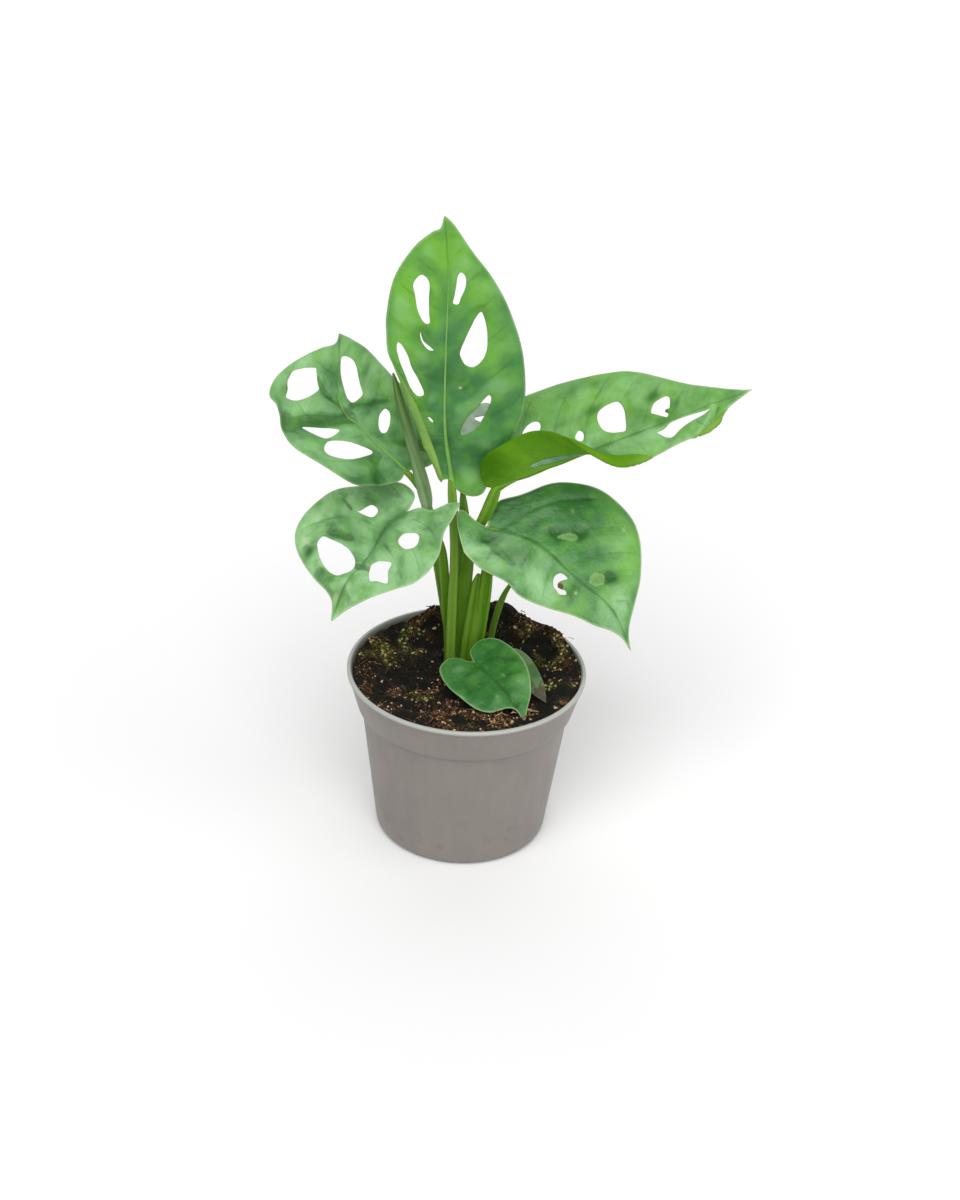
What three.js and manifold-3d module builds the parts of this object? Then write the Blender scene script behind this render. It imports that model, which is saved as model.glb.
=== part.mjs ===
// Potted swiss cheese vine: a young plant with perforated leaves in a small plastic nursery pot.
// Millimetres, +Z up. The origin is the middle of the pot's underside, and -Y is the front.

import * as THREE from 'three';
import { mergeVertices } from 'three/addons/utils/BufferGeometryUtils.js';
import Module from 'manifold-3d';

const wasm = await Module();
wasm.setup();

// Pot: a thin-walled tapered cup with a plain band under its rim and drain holes in its floor.
const POT = {
  height: 52.5,
  rimRadius: 34.7,
  lipHeight: 1.3,
  bandTopRadius: 34.3,
  bandHeight: 11.5,
  bandFootRadius: 31.5,
  bandStep: 1.2,
  footRadius: 25,
  footRound: 2,
  wall: 1.2,
  floor: 1.3,
  sides: 60,
  drainHoles: 6,
  drainRadius: 3,
  drainRing: 15.5,
};

// Soil: its level in the middle, how much higher it stands at the wall, the clearance to the pot,
// and the heaps and dips of its surface.
const SOIL = {
  level: 48,
  edgeRise: 2.6,
  clearance: 0.3,
  sides: 40,
  rings: 9,
  roughness: 0.45,
  // x, y, height and spread of each heap
  heaps: [
    [8, 29, 6.6, 7.5],
    [-9, 31, 2.8, 6],
    [24, 20, 2.8, 9],
    [31, 3, 1, 8],
    [30, -9, 1.2, 6],
    [0, -27, 0.8, 9],
    [-17, -20, 1.5, 6],
    [-14, -2, -1, 8],
    [16, 6, -1, 7],
    [15, -21, -1, 7],
  ],
};

const BLADE_THICKNESS = 0.7;
const BLADE_GRID = 3.4;
const OUTLINE_STEP = 3.4;
const STEM_SIDES = 10;
const HOLE_CLEARANCE = 0.35;

// Leaf blades. Each one is drawn flat, with x away from the midrib and y along it from the base to
// the tip, and then bent. base is where the petiole meets the blade. azimuth, rise and roll turn it:
// azimuth 0 points along +X and rise is above the horizontal. sway and arch move the midrib sideways
// and along the blade's normal. tilt lifts a half of the blade in degrees, curl rolls it in degrees
// per mm beyond the distance flat from the midrib. All are keyed by the fraction of the length.
// A hole is [x, y, half length, half width, lean in degrees, taper towards its upper end].
const BLADES = {
  leaf_top: {
    base: [-6.6, 2, 112.4], azimuth: 122, rise: 83, roll: -26, length: 75.3,
    sway: [[0, 0], [0.2, -1.5], [0.5, -0.8], [0.8, 0.5], [1, 0]],
    arch: [[0, 0], [0.5, 2], [1, 0]],
    left: {
      tilt: [[0, 8], [1, 0]],
      flat: [[0, 1.2], [0.12, 3.6], [0.25, 6.7], [0.37, 9.8], [0.5, 14], [0.58, 18]],
      curl: [[0, 26], [0.4, 26], [0.55, 0]],
      edge: [[1, -1], [4.2, -1.6], [7.5, 1.5], [10, 8], [12.3, 16], [14.8, 25], [16.6, 34], [16.6, 43],
        [16.4, 50], [14.4, 59.5], [9, 67], [3.7, 71], [1.2, 72.1]],
    },
    right: {
      tilt: [[0, 5], [0.6, -6], [1, 0]],
      edge: [[1.3, -2.8], [5, -4.9], [8.7, -3.9], [11.5, 3], [18.4, 12.5], [22, 22], [21.2, 36],
        [17.2, 48], [12.3, 57.2], [6.9, 65], [2.3, 72.8]],
    },
    holes: [[-6, 53, 7, 2.3, -7, 0.1], [3.4, 55.5, 4.8, 1.7, 18, -0.1], [8.2, 40.7, 8, 4, 12, 0.35],
      [-5.2, 41, 3, 0.4, -32, 0], [-9.8, 33.2, 8.7, 1.6, -22, 0.2], [8.6, 18.9, 7.1, 2, 38, 0.1]],
  },
  leaf_upper_left: {
    base: [-19.8, 6, 112.7], azimuth: 142, rise: 43, roll: -8, length: 43.3,
    sway: [[0, 0], [0.3, -6.3], [0.57, -8.8], [0.75, -2.7], [1, 7.2]],
    arch: [[0, 0], [0.45, 4], [0.9, 0], [1, -1.5]],
    left: {
      tilt: [[0, 6], [0.65, 0], [1, 0]],
      edge: [[3, -2.2], [9, -3.2], [15, -1.5], [18.3, 3], [18.9, 10], [21.5, 18], [20.9, 27],
        [22.6, 32], [25.6, 36], [23.6, 39.6], [17, 41.4], [8, 41.6], [1.6, 41]],
    },
    right: {
      tilt: [[0, 10], [0.65, 0], [1, 0]],
      edge: [[4.5, -1.8], [9.5, -1.8], [14, 2.5], [18, 9], [20.3, 16.5], [19.8, 24.5], [14.4, 31.4],
        [9.8, 36], [4.5, 40.1]],
    },
    holes: [[-13.3, 35, 6.4, 4.3, -78, 0], [4.4, 30, 7.6, 2.8, -22, 0.1], [7.8, 14.6, 3.9, 1.8, 42, 0],
      [-11, 20.3, 4.9, 1.3, -57, 0.2], [-9.3, 12, 6.9, 2.4, -66, 0.1]],
  },
  leaf_lower_left: {
    base: [-18.8, 2, 101.6], azimuth: -140, rise: -29, roll: -14, length: 38,
    sway: [[0, 0], [0.2, 0], [0.46, -3.9], [0.75, -5], [1, -9.3]],
    arch: [[0, 0], [0.5, 3], [1, 0]],
    left: {
      tilt: [[0, 12], [0.8, 0], [1, 0]],
      edge: [[4, -2.2], [7, -6], [9, -9.8], [11.5, -10.6], [13.3, -7], [15.4, -1], [20.3, 5.3],
        [20.6, 10.5], [17.5, 15.8], [13, 21], [8.3, 27.5], [3.5, 33]],
    },
    right: {
      tilt: [[0, 4], [1, 0]],
      edge: [[1.5, -4.2], [4, -5.8], [8.5, -5.2], [12.5, -1], [17, 4.8], [21, 10.5], [23.8, 16.5],
        [24.2, 21.5], [22.3, 26.5], [18, 30], [11, 32], [5, 32.6], [1.9, 34]],
    },
    holes: [[8.2, 7.2, 3.9, 1.8, 52, 0.5], [8.7, 24.2, 7.4, 3.7, 88, 0], [-8.6, 6.9, 3.7, 2.5, -75, 0],
      [-6, 19.4, 4, 2.9, -20, 0]],
  },
  leaf_right: {
    base: [5.5, 1.6, 111], azimuth: 5, rise: 24, roll: 20, length: 76,
    left: {
      tilt: [[0, 10], [0.5, 4], [1, 0]],
      edge: [[2, -3], [8, -5.6], [15, -4.6], [21, 0], [24.8, 8], [25.9, 20], [25.4, 32], [23, 43.5],
        [17.5, 51.5], [10.3, 59.7], [4.4, 68], [1, 73.5]],
    },
    right: {
      tilt: [[0, 85], [0.2, 85], [0.55, -5], [1, -10]],
      curl: [[0, 2.5], [0.2, 2.5], [0.55, 0], [1, 0]],
      edge: [[3, -2.2], [8, -1.5], [12, 1.5], [12.9, 9], [14.3, 18], [15.6, 25], [14.6, 32],
        [11.2, 38.5], [9, 45], [7.6, 52], [7.5, 61], [4.4, 65.6], [1.8, 69]],
    },
    holes: [[-7.8, 37, 5.1, 3.9, -70, 0], [-5.9, 51, 3.7, 2.1, -35, 0.2], [2.4, 55, 8.4, 2, -9, 0.3],
      [-6.9, 26.9, 1.9, 1.5, 0, 0], [-13.5, 14.3, 3.6, 2.3, -40, 0], [3.3, 20, 6.5, 0.6, 4, 0]],
  },
  leaf_lower_right: {
    base: [4.1, 1, 98.4], azimuth: -29, rise: -27, roll: 24, length: 53,
    sway: [[0, 0], [0.11, -3], [0.25, -5], [0.5, -4], [0.8, -4.6], [1, 0]],
    arch: [[0, 0], [0.5, 4], [1, 0]],
    left: {
      tilt: [[0, 12], [0.6, 2], [1, 0]],
      edge: [[1.4, -1], [3.6, -1.6], [6.1, -2.5], [8.7, -2.6], [14, 1], [19.5, 4.7], [22.7, 10.7], [25.2, 19.5], [25.2, 28],
        [21, 34.5], [13.1, 41.3], [4.6, 46.6], [1.6, 49.2]],
    },
    right: {
      tilt: [[0, -4], [0.3, -28], [0.7, -28], [1, -5]],
      edge: [[0.9, -3.5], [1.1, -8.6], [4, -8.2], [8.9, -2], [13.6, 6], [14, 14.2], [14.6, 19.5],
        [12, 26.8], [9, 34.2], [6.6, 41], [3.2, 45.6], [0.9, 49.3]],
    },
    holes: [[4.1, 26.4, 3, 1.9, 0, 0]],
  },
  leaf_small_front: {
    base: [2, -4, 56.9], azimuth: -53, rise: -15, roll: 18, length: 26,
    sway: [[0, 0], [0.75, -1], [1, 0]],
    arch: [[0, 0], [0.5, 1.5], [1, 0]],
    left: {
      tilt: [[0, 6], [1, 0]],
      edge: [[1, -3.4], [4.2, -5], [7.7, -4.2], [10.3, -1], [11, 4.8], [9.8, 11.5], [6.3, 18.5],
        [2.6, 22.8]],
    },
    right: {
      tilt: [[0, 6], [1, 0]],
      edge: [[1.3, -1.2], [3.2, -3.8], [6, -4.9], [9.4, -3.4], [11, 0.6], [11.6, 7], [10.4, 14.5],
        [7.2, 18.4], [2.8, 19.6], [0.6, 21.4]],
    },
    holes: [],
  },
  leaf_small_side: {
    base: [10.9, 3.2, 55.4], azimuth: -54, rise: -13, roll: 6, length: 21.5,
    arch: [[0, 0], [0.5, 1.2], [1, 0]],
    left: {
      tilt: [[0, 6], [1, 0]],
      edge: [[1.5, -1.8], [4.4, 0.5], [5, 5], [4.2, 11], [2.4, 17]],
    },
    right: {
      tilt: [[0, 6], [1, 0]],
      edge: [[1.5, -1.8], [4.2, 0.5], [4.8, 5], [4, 11], [2.2, 17]],
    },
    holes: [],
  },
};

// Petioles and other stems. Each is one or two oval strands joined together: a petiole, and the wide
// sheath round its foot. A route is in world millimetres from the foot in the soil upwards, and the
// half width and half depth are keyed by the fraction of the route.
const STEMS = {
  leaf_top_petiole: [{
    route: [[-4.6, 5.6, 39], [-5, 5.3, 57], [-5, 4.8, 69], [-5, 4.1, 86], [-5.5, 3.9, 97],
      [-6.1, 3.1, 105], [-6.5, 2.4, 110.1]],
    width: [[0, 1.4], [0.4, 1.35], [0.7, 1.2], [1, 1.2]],
    depth: [[0, 1.4], [0.5, 1.25], [1, 1.1]],
  }],
  leaf_upper_left_petiole: [{
    route: [[-4.3, 12.9, 40], [-5, 12.4, 53], [-7.4, 11, 68.5], [-9.7, 9.8, 82.5], [-12.2, 7.8, 95],
      [-14.6, 7, 103.5], [-17.2, 6.6, 108.6], [-19.1, 6.2, 111.6]],
    width: [[0, 1.5], [0.5, 1.7], [0.74, 1.6], [0.86, 1.05], [1, 0.95]],
    depth: [[0, 1.3], [0.74, 1.3], [0.86, 1], [1, 0.9]],
  }],
  leaf_lower_left_petiole: [{
    route: [[-5.4, 9.1, 40], [-5.9, 8.9, 58], [-6.9, 8, 69.5], [-7.5, 7, 78], [-9.2, 5.3, 90],
      [-12.6, 3.9, 96.6], [-15.7, 2.9, 99.5], [-17.9, 2.3, 100.8]],
    width: [[0, 1.2], [0.5, 1.35], [0.72, 1.25], [0.85, 1], [1, 0.95]],
    depth: [[0, 1.1], [0.7, 1.1], [0.85, 0.95], [1, 0.9]],
  }],
  leaf_right_petiole: [{
    route: [[-0.9, 10.1, 40], [-1.1, 9.6, 54.7], [-2, 8.9, 66.5], [-2.1, 8.1, 78], [-2, 7.6, 86],
      [-2.5, 7.1, 95], [-2.9, 6.9, 100.5], [-3.5, 6.6, 107]],
    width: [[0, 1.9], [0.4, 2], [0.56, 2.45], [0.72, 2.4], [0.84, 1.7], [0.95, 1], [1, 0.6]],
    depth: [[0, 1.4], [0.7, 1.4], [0.9, 0.9], [1, 0.6]],
  }, {
    route: [[-2, 8, 80], [-2.2, 7.4, 86], [-0.8, 6.3, 90.7], [0.8, 5, 94.7], [2.5, 3.2, 99.5],
      [4, 2, 104], [5.2, 1.7, 107.9], [5.7, 1.6, 109.6]],
    width: [[0, 1.2], [0.3, 1.6], [0.6, 1.5], [1, 1.6]],
    depth: [[0, 1], [0.3, 1.3], [1, 1.3]],
  }],
  leaf_lower_right_petiole: [{
    route: [[2.2, 7, 40], [2.8, 6.9, 56.6], [3.4, 6.6, 63], [4.1, 5.9, 72.5], [4.5, 5.2, 80],
      [4.6, 4, 87], [4.2, 1.8, 97]],
    width: [[0, 1.6], [0.4, 1.8], [0.6, 1.9], [0.75, 1.6], [0.85, 1.2], [1, 1.15]],
    depth: [[0, 1.3], [0.6, 1.4], [0.85, 1.1], [1, 1.1]],
  }, {
    route: [[-0.5, 6.8, 40], [0.1, 6.5, 56.7], [0.6, 6.3, 62.5], [1.4, 6.1, 71], [2, 5.8, 78],
      [2.2, 5.7, 80.3]],
    width: [[0, 2.2], [0.6, 2], [0.85, 1.7], [0.95, 1.4], [1, 0.7]],
    depth: [[0, 1.1], [0.85, 1], [1, 0.6]],
  }],
  leaf_small_front_petiole: [{
    route: [[0.6, 1.2, 41], [0.7, 0.8, 48], [1.2, -1, 53.5], [1.8, -3.2, 56.2]],
    width: [[0, 1], [1, 0.8]],
    depth: [[0, 1], [1, 0.8]],
  }],
  leaf_small_side_petiole: [{
    route: [[7.6, 7.4, 42], [8, 7, 49], [9.2, 5.2, 53.4], [10.3, 3.9, 55]],
    width: [[0, 0.9], [1, 0.7]],
    depth: [[0, 0.9], [1, 0.7]],
  }],
  side_petiole: [{
    route: [[5.6, 16.5, 42], [6.7, 15.6, 54], [8.3, 13.9, 64], [10.1, 12.2, 71], [12.2, 10.7, 76]],
    width: [[0, 1.3], [0.45, 1.05], [0.75, 1.1], [0.9, 0.85], [1, 0.7]],
    depth: [[0, 1.2], [0.75, 1], [1, 0.7]],
  }],
  new_leaf_rolled: [{
    route: [[-13, 4.9, 100], [-13.8, 4.5, 106], [-16.3, 3.4, 116.7], [-18.9, 2.6, 125.7],
      [-21.5, 1.6, 135.7], [-23.6, 0.7, 144.7]],
    width: [[0, 0.9], [0.12, 1.6], [0.4, 1.45], [0.75, 1.3], [0.93, 0.8], [1, 0.35]],
    depth: [[0, 0.9], [0.12, 1.5], [0.4, 1.4], [0.75, 1.3], [0.93, 0.8], [1, 0.35]],
  }],
};

const GREEN_BLADE = new THREE.MeshStandardMaterial({ color: 0x4b8f3e, roughness: 0.45, metalness: 0 });
const GREEN_STEM = new THREE.MeshStandardMaterial({ color: 0x5d8f22, roughness: 0.5, metalness: 0 });
const GREY_PLASTIC = new THREE.MeshStandardMaterial({ color: 0x9b948e, roughness: 0.5, metalness: 0 });
const DARK_SOIL = new THREE.MeshStandardMaterial({ color: 0x2a2118, roughness: 1, metalness: 0 });

// Smooth curve through [position, value] keys, level beyond the first and the last.
function keyed(keys, at) {
  if (!keys) return 0;
  const last = keys.length - 1;
  if (at <= keys[0][0]) return keys[0][1];
  if (at >= keys[last][0]) return keys[last][1];
  const slope = (i) => (keys[i + 1][1] - keys[i][1]) / (keys[i + 1][0] - keys[i][0]);
  const tangent = (i) => {
    if (i === 0) return slope(0);
    if (i === last) return slope(last - 1);
    return (slope(i - 1) + slope(i)) / 2;
  };
  let i = 0;
  while (at > keys[i + 1][0]) i += 1;
  const span = keys[i + 1][0] - keys[i][0];
  const s = (at - keys[i][0]) / span;
  return (1 + 2 * s) * (1 - s) ** 2 * keys[i][1] + s * s * (3 - 2 * s) * keys[i + 1][1]
    + span * (s * (1 - s) ** 2 * tangent(i) - s * s * (1 - s) * tangent(i + 1));
}

// Repeatable random numbers from 0 to 1.
function seededRandom(seed) {
  let state = seed;
  return () => {
    state = (state * 1664525 + 1013904223) % 4294967296;
    return state / 4294967296;
  };
}

function geometryFrom(positions, triangles) {
  const geometry = new THREE.BufferGeometry();
  geometry.setAttribute('position', new THREE.Float32BufferAttribute(positions, 3));
  geometry.setIndex(triangles);
  return geometry;
}

function manifoldFrom(geometry) {
  const bare = geometry.clone();
  bare.deleteAttribute('normal');
  bare.deleteAttribute('uv');
  const merged = mergeVertices(bare, 1e-4);
  return new wasm.Manifold(new wasm.Mesh({
    numProp: 3,
    vertProperties: new Float32Array(merged.attributes.position.array),
    triVerts: new Uint32Array(merged.index.array),
  }));
}

function geometryFromManifold(solid) {
  const mesh = solid.getMesh();
  return geometryFrom(Array.from(mesh.vertProperties), Array.from(mesh.triVerts));
}

// The blade's directions: across to its right, along to its tip, and up out of its face.
function bladeAxes(blade) {
  const azimuth = THREE.MathUtils.degToRad(blade.azimuth);
  const rise = THREE.MathUtils.degToRad(blade.rise);
  const roll = THREE.MathUtils.degToRad(blade.roll);
  const along = new THREE.Vector3(
    Math.cos(rise) * Math.cos(azimuth), Math.cos(rise) * Math.sin(azimuth), Math.sin(rise));
  const level = new THREE.Vector3(Math.sin(azimuth), -Math.cos(azimuth), 0);
  const across = level.applyAxisAngle(along, roll);
  const up = new THREE.Vector3().crossVectors(across, along);
  return { across, along, up };
}

// A point of the bent blade's middle surface, in the world.
function bladePoint(blade, axes, x, y) {
  const at = y / blade.length;
  const half = x > 0 ? blade.right : blade.left;
  const reach = Math.abs(x);
  const tilt = THREE.MathUtils.degToRad(keyed(half.tilt, at));
  const curl = THREE.MathUtils.degToRad(keyed(half.curl, at));
  const flat = Math.min(reach, keyed(half.flat, at));
  const rest = reach - flat;
  let out = flat * Math.cos(tilt);
  let lift = flat * Math.sin(tilt);
  if (Math.abs(curl) < 1e-5) {
    out += rest * Math.cos(tilt);
    lift += rest * Math.sin(tilt);
  } else {
    out += (Math.sin(tilt + curl * rest) - Math.sin(tilt)) / curl;
    lift += (Math.cos(tilt) - Math.cos(tilt + curl * rest)) / curl;
  }
  return new THREE.Vector3(...blade.base)
    .addScaledVector(axes.across, keyed(blade.sway, at) + Math.sign(x) * out)
    .addScaledVector(axes.along, y)
    .addScaledVector(axes.up, keyed(blade.arch, at) + lift);
}

function bladeNormal(blade, axes, x, y) {
  const step = 0.6;
  const across = bladePoint(blade, axes, x + step, y).sub(bladePoint(blade, axes, x - step, y));
  const along = bladePoint(blade, axes, x, y + step).sub(bladePoint(blade, axes, x, y - step));
  return across.cross(along).normalize();
}

// The flat outline: up the left edge to the tip and back down the right edge to the base.
function bladeOutline(blade) {
  const tip = [0, blade.length];
  const edge = (half, side) => {
    const points = [[0, 0], ...half.edge, tip].map(([x, y]) => new THREE.Vector2(side * x, y));
    const curve = new THREE.SplineCurve(points);
    const step = half.flat ? OUTLINE_STEP / 2 : OUTLINE_STEP;
    return curve.getSpacedPoints(Math.round(curve.getLength() / step));
  };
  const left = edge(blade.left, -1);
  const right = edge(blade.right, 1).reverse();
  return [...left.slice(0, -1), ...right.slice(0, -1)].reverse();
}

// An egg-shaped hole, leaning from the midrib's direction and narrower towards its upper end.
function bladeHole([x, y, halfLength, halfWidth, lean, taper]) {
  const count = Math.max(6, Math.round((halfLength + halfWidth) * 1.3));
  const turn = THREE.MathUtils.degToRad(lean);
  const points = [];
  for (let i = 0; i < count; i += 1) {
    const angle = (2 * Math.PI * (i + 0.5)) / count;
    const along = halfLength * Math.cos(angle);
    const across = halfWidth * Math.sin(angle) * (1 - taper * Math.cos(angle));
    points.push(new THREE.Vector2(
      x + across * Math.cos(turn) + along * Math.sin(turn),
      y - across * Math.sin(turn) + along * Math.cos(turn)));
  }
  return points;
}

function distanceToLoop(point, loop) {
  const nearest = new THREE.Vector3();
  const line = new THREE.Line3();
  const spot = new THREE.Vector3(point.x, point.y, 0);
  let best = Infinity;
  loop.forEach((from, i) => {
    const to = loop[(i + 1) % loop.length];
    line.set(new THREE.Vector3(from.x, from.y, 0), new THREE.Vector3(to.x, to.y, 0));
    line.closestPointToPoint(spot, true, nearest);
    best = Math.min(best, nearest.distanceTo(spot));
  });
  return best;
}

function insideLoop(point, loop) {
  let inside = false;
  loop.forEach((a, i) => {
    const b = loop[(i + 1) % loop.length];
    const crosses = (a.y > point.y) !== (b.y > point.y);
    if (crosses && point.x < ((b.x - a.x) * (point.y - a.y)) / (b.y - a.y) + a.x) inside = !inside;
  });
  return inside;
}

// Whether a point is on the part of a margin that is rolled over, which needs smaller triangles.
function isRolled(blade, x, y) {
  const half = x > 0 ? blade.right : blade.left;
  const at = y / blade.length;
  return Boolean(half.flat) && Math.abs(x) > keyed(half.flat, at) - 1 && keyed(half.curl, at) > 2;
}

// Staggered rows of inner points, with one row on the midrib, clear of the outline and the holes.
// They are moved very slightly at random, so that no three of them lie exactly in one line.
function innerPoints(blade, outline, holes) {
  const box = new THREE.Box2().setFromPoints(outline);
  const random = seededRandom(3);
  const points = [];
  const fill = (pitch, wanted) => {
    const columnStep = pitch * Math.sin(Math.PI / 3);
    for (let column = Math.floor(box.min.x / columnStep); column * columnStep < box.max.x; column += 1) {
      const shift = column % 2 === 0 ? 0.3 : 0.5 * pitch + 0.3;
      for (let y = Math.floor(box.min.y / pitch) * pitch + shift; y < box.max.y; y += pitch) {
        const point = new THREE.Vector2(column * columnStep + 0.02 * random(), y + 0.02 * random());
        const clear = [outline, ...holes].every((loop) => distanceToLoop(point, loop) > 0.42 * pitch);
        if (clear && wanted(point) && insideLoop(point, outline)
          && !holes.some((hole) => insideLoop(point, hole))) {
          points.push(point);
        }
      }
    }
  };
  fill(BLADE_GRID, (point) => !isRolled(blade, point.x, point.y));
  fill(BLADE_GRID / 2, (point) => isRolled(blade, point.x, point.y));
  return points;
}

function turnOf(a, b, c) {
  return (b.x - a.x) * (c.y - a.y) - (b.y - a.y) * (c.x - a.x);
}

function insideCircle(a, b, c, d) {
  const rows = [a, b, c].map((p) => [p.x - d.x, p.y - d.y, (p.x - d.x) ** 2 + (p.y - d.y) ** 2]);
  const [p, q, r] = rows;
  return p[0] * (q[1] * r[2] - q[2] * r[1]) - p[1] * (q[0] * r[2] - q[2] * r[0])
    + p[2] * (q[0] * r[1] - q[1] * r[0]) > 1e-7;
}

// Triangles over the flat blade: a plain triangulation, then edge flips until they are well shaped.
function triangulateBlade(outline, holes, inner) {
  const points = [outline, ...holes, ...inner.map((point) => [point])].flat();
  const faces = THREE.ShapeUtils.triangulateShape(
    outline.slice(), [...holes.map((hole) => hole.slice()), ...inner.map((point) => [point])]);
  const triangles = faces.map(([a, b, c]) => (turnOf(points[a], points[b], points[c]) > 0 ? [a, b, c] : [a, c, b]));
  const key = (a, b) => a * points.length + b;
  const owner = new Map();
  triangles.forEach((triangle, index) => {
    for (let k = 0; k < 3; k += 1) owner.set(key(triangle[k], triangle[(k + 1) % 3]), index);
  });
  let flipped = true;
  while (flipped) {
    flipped = false;
    for (let index = 0; index < triangles.length; index += 1) {
      for (let k = 0; k < 3; k += 1) {
        const [a, b, c] = [0, 1, 2].map((i) => triangles[index][(k + i) % 3]);
        const other = owner.get(key(b, a));
        if (other === undefined) continue;
        const d = triangles[other].find((vertex) => vertex !== a && vertex !== b);
        const convex = turnOf(points[a], points[d], points[c]) > 1e-6
          && turnOf(points[d], points[b], points[c]) > 1e-6;
        if (!convex || !insideCircle(points[a], points[b], points[c], points[d])) continue;
        triangles[index] = [a, d, c];
        triangles[other] = [d, b, c];
        owner.delete(key(a, b));
        owner.delete(key(b, a));
        [index, other].forEach((changed) => {
          for (let e = 0; e < 3; e += 1) {
            owner.set(key(triangles[changed][e], triangles[changed][(e + 1) % 3]), changed);
          }
        });
        flipped = true;
      }
    }
  }
  return { points, triangles, owner, key };
}

// A blade of even thickness, with the same triangles on both faces and a wall round every edge.
function bladeGeometry(blade) {
  const axes = bladeAxes(blade);
  const outline = bladeOutline(blade);
  const holes = blade.holes.map(bladeHole);
  const { points, triangles, owner, key } = triangulateBlade(outline, holes, innerPoints(blade, outline, holes));
  const positions = [];
  [0.5, -0.5].forEach((side) => {
    points.forEach((point) => {
      const place = bladePoint(blade, axes, point.x, point.y)
        .addScaledVector(bladeNormal(blade, axes, point.x, point.y), side * BLADE_THICKNESS);
      positions.push(place.x, place.y, place.z);
    });
  });
  const under = points.length;
  const index = [];
  triangles.forEach(([a, b, c]) => {
    index.push(a, b, c, under + a, under + c, under + b);
    [[a, b], [b, c], [c, a]].forEach(([from, to]) => {
      if (owner.has(key(to, from))) return;
      index.push(from, under + from, under + to, from, under + to, to);
    });
  });
  return geometryFrom(positions, index);
}

// A strand along its route, oval in section, closed at both ends. grow makes the hole it stands in.
function strandGeometry(strand, grow = 0) {
  const route = strand.route.map((point) => new THREE.Vector3(...point));
  const curve = new THREE.CatmullRomCurve3(route, false, 'centripetal');
  const steps = Math.max(6, Math.round(curve.getLength() / 5));
  const positions = [];
  const index = [];
  for (let step = 0; step <= steps; step += 1) {
    const at = step / steps;
    const tangent = curve.getTangentAt(at);
    const middle = curve.getPointAt(at);
    if (step === 0) middle.addScaledVector(tangent, -grow);
    const across = new THREE.Vector3().crossVectors(tangent, new THREE.Vector3(0, 1, 0)).normalize();
    const deep = new THREE.Vector3().crossVectors(across, tangent);
    for (let side = 0; side < STEM_SIDES; side += 1) {
      const angle = (2 * Math.PI * side) / STEM_SIDES;
      const place = middle.clone()
        .addScaledVector(across, (keyed(strand.width, at) + grow) * Math.cos(angle))
        .addScaledVector(deep, (keyed(strand.depth, at) + grow) * Math.sin(angle));
      positions.push(place.x, place.y, place.z);
    }
  }
  for (let step = 0; step < steps; step += 1) {
    for (let side = 0; side < STEM_SIDES; side += 1) {
      const a = step * STEM_SIDES + side;
      const b = step * STEM_SIDES + ((side + 1) % STEM_SIDES);
      index.push(a, a + STEM_SIDES, b, b, a + STEM_SIDES, b + STEM_SIDES);
    }
  }
  const top = steps * STEM_SIDES;
  for (let side = 1; side < STEM_SIDES - 1; side += 1) {
    index.push(0, side, side + 1, top, top + side + 1, top + side);
  }
  return geometryFrom(positions, index);
}

// A stem: its strands joined into one body.
function stemSolid(stem, grow = 0) {
  const strands = stem.map((strand) => manifoldFrom(strandGeometry(strand, grow)));
  return strands.reduce((whole, strand) => whole.add(strand));
}

// Outer radius of the pot's body at a height.
function bodyRadius(z) {
  const bandFoot = POT.height - POT.bandHeight;
  return THREE.MathUtils.mapLinear(z, 0, bandFoot, POT.footRadius, POT.bandFootRadius - POT.bandStep);
}

// Inner radius of the pot beside the soil at a height.
function innerRadius(z) {
  const bandFoot = POT.height - POT.bandHeight;
  if (z < bandFoot - 1) return bodyRadius(z) - POT.wall;
  const bandInside = POT.bandFootRadius - POT.wall;
  if (z < bandFoot) return THREE.MathUtils.mapLinear(z, bandFoot - 1, bandFoot, bodyRadius(z) - POT.wall, bandInside);
  const top = Math.min(z, POT.height);
  return THREE.MathUtils.mapLinear(top, bandFoot, POT.height, bandInside, POT.rimRadius - POT.wall);
}

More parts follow.
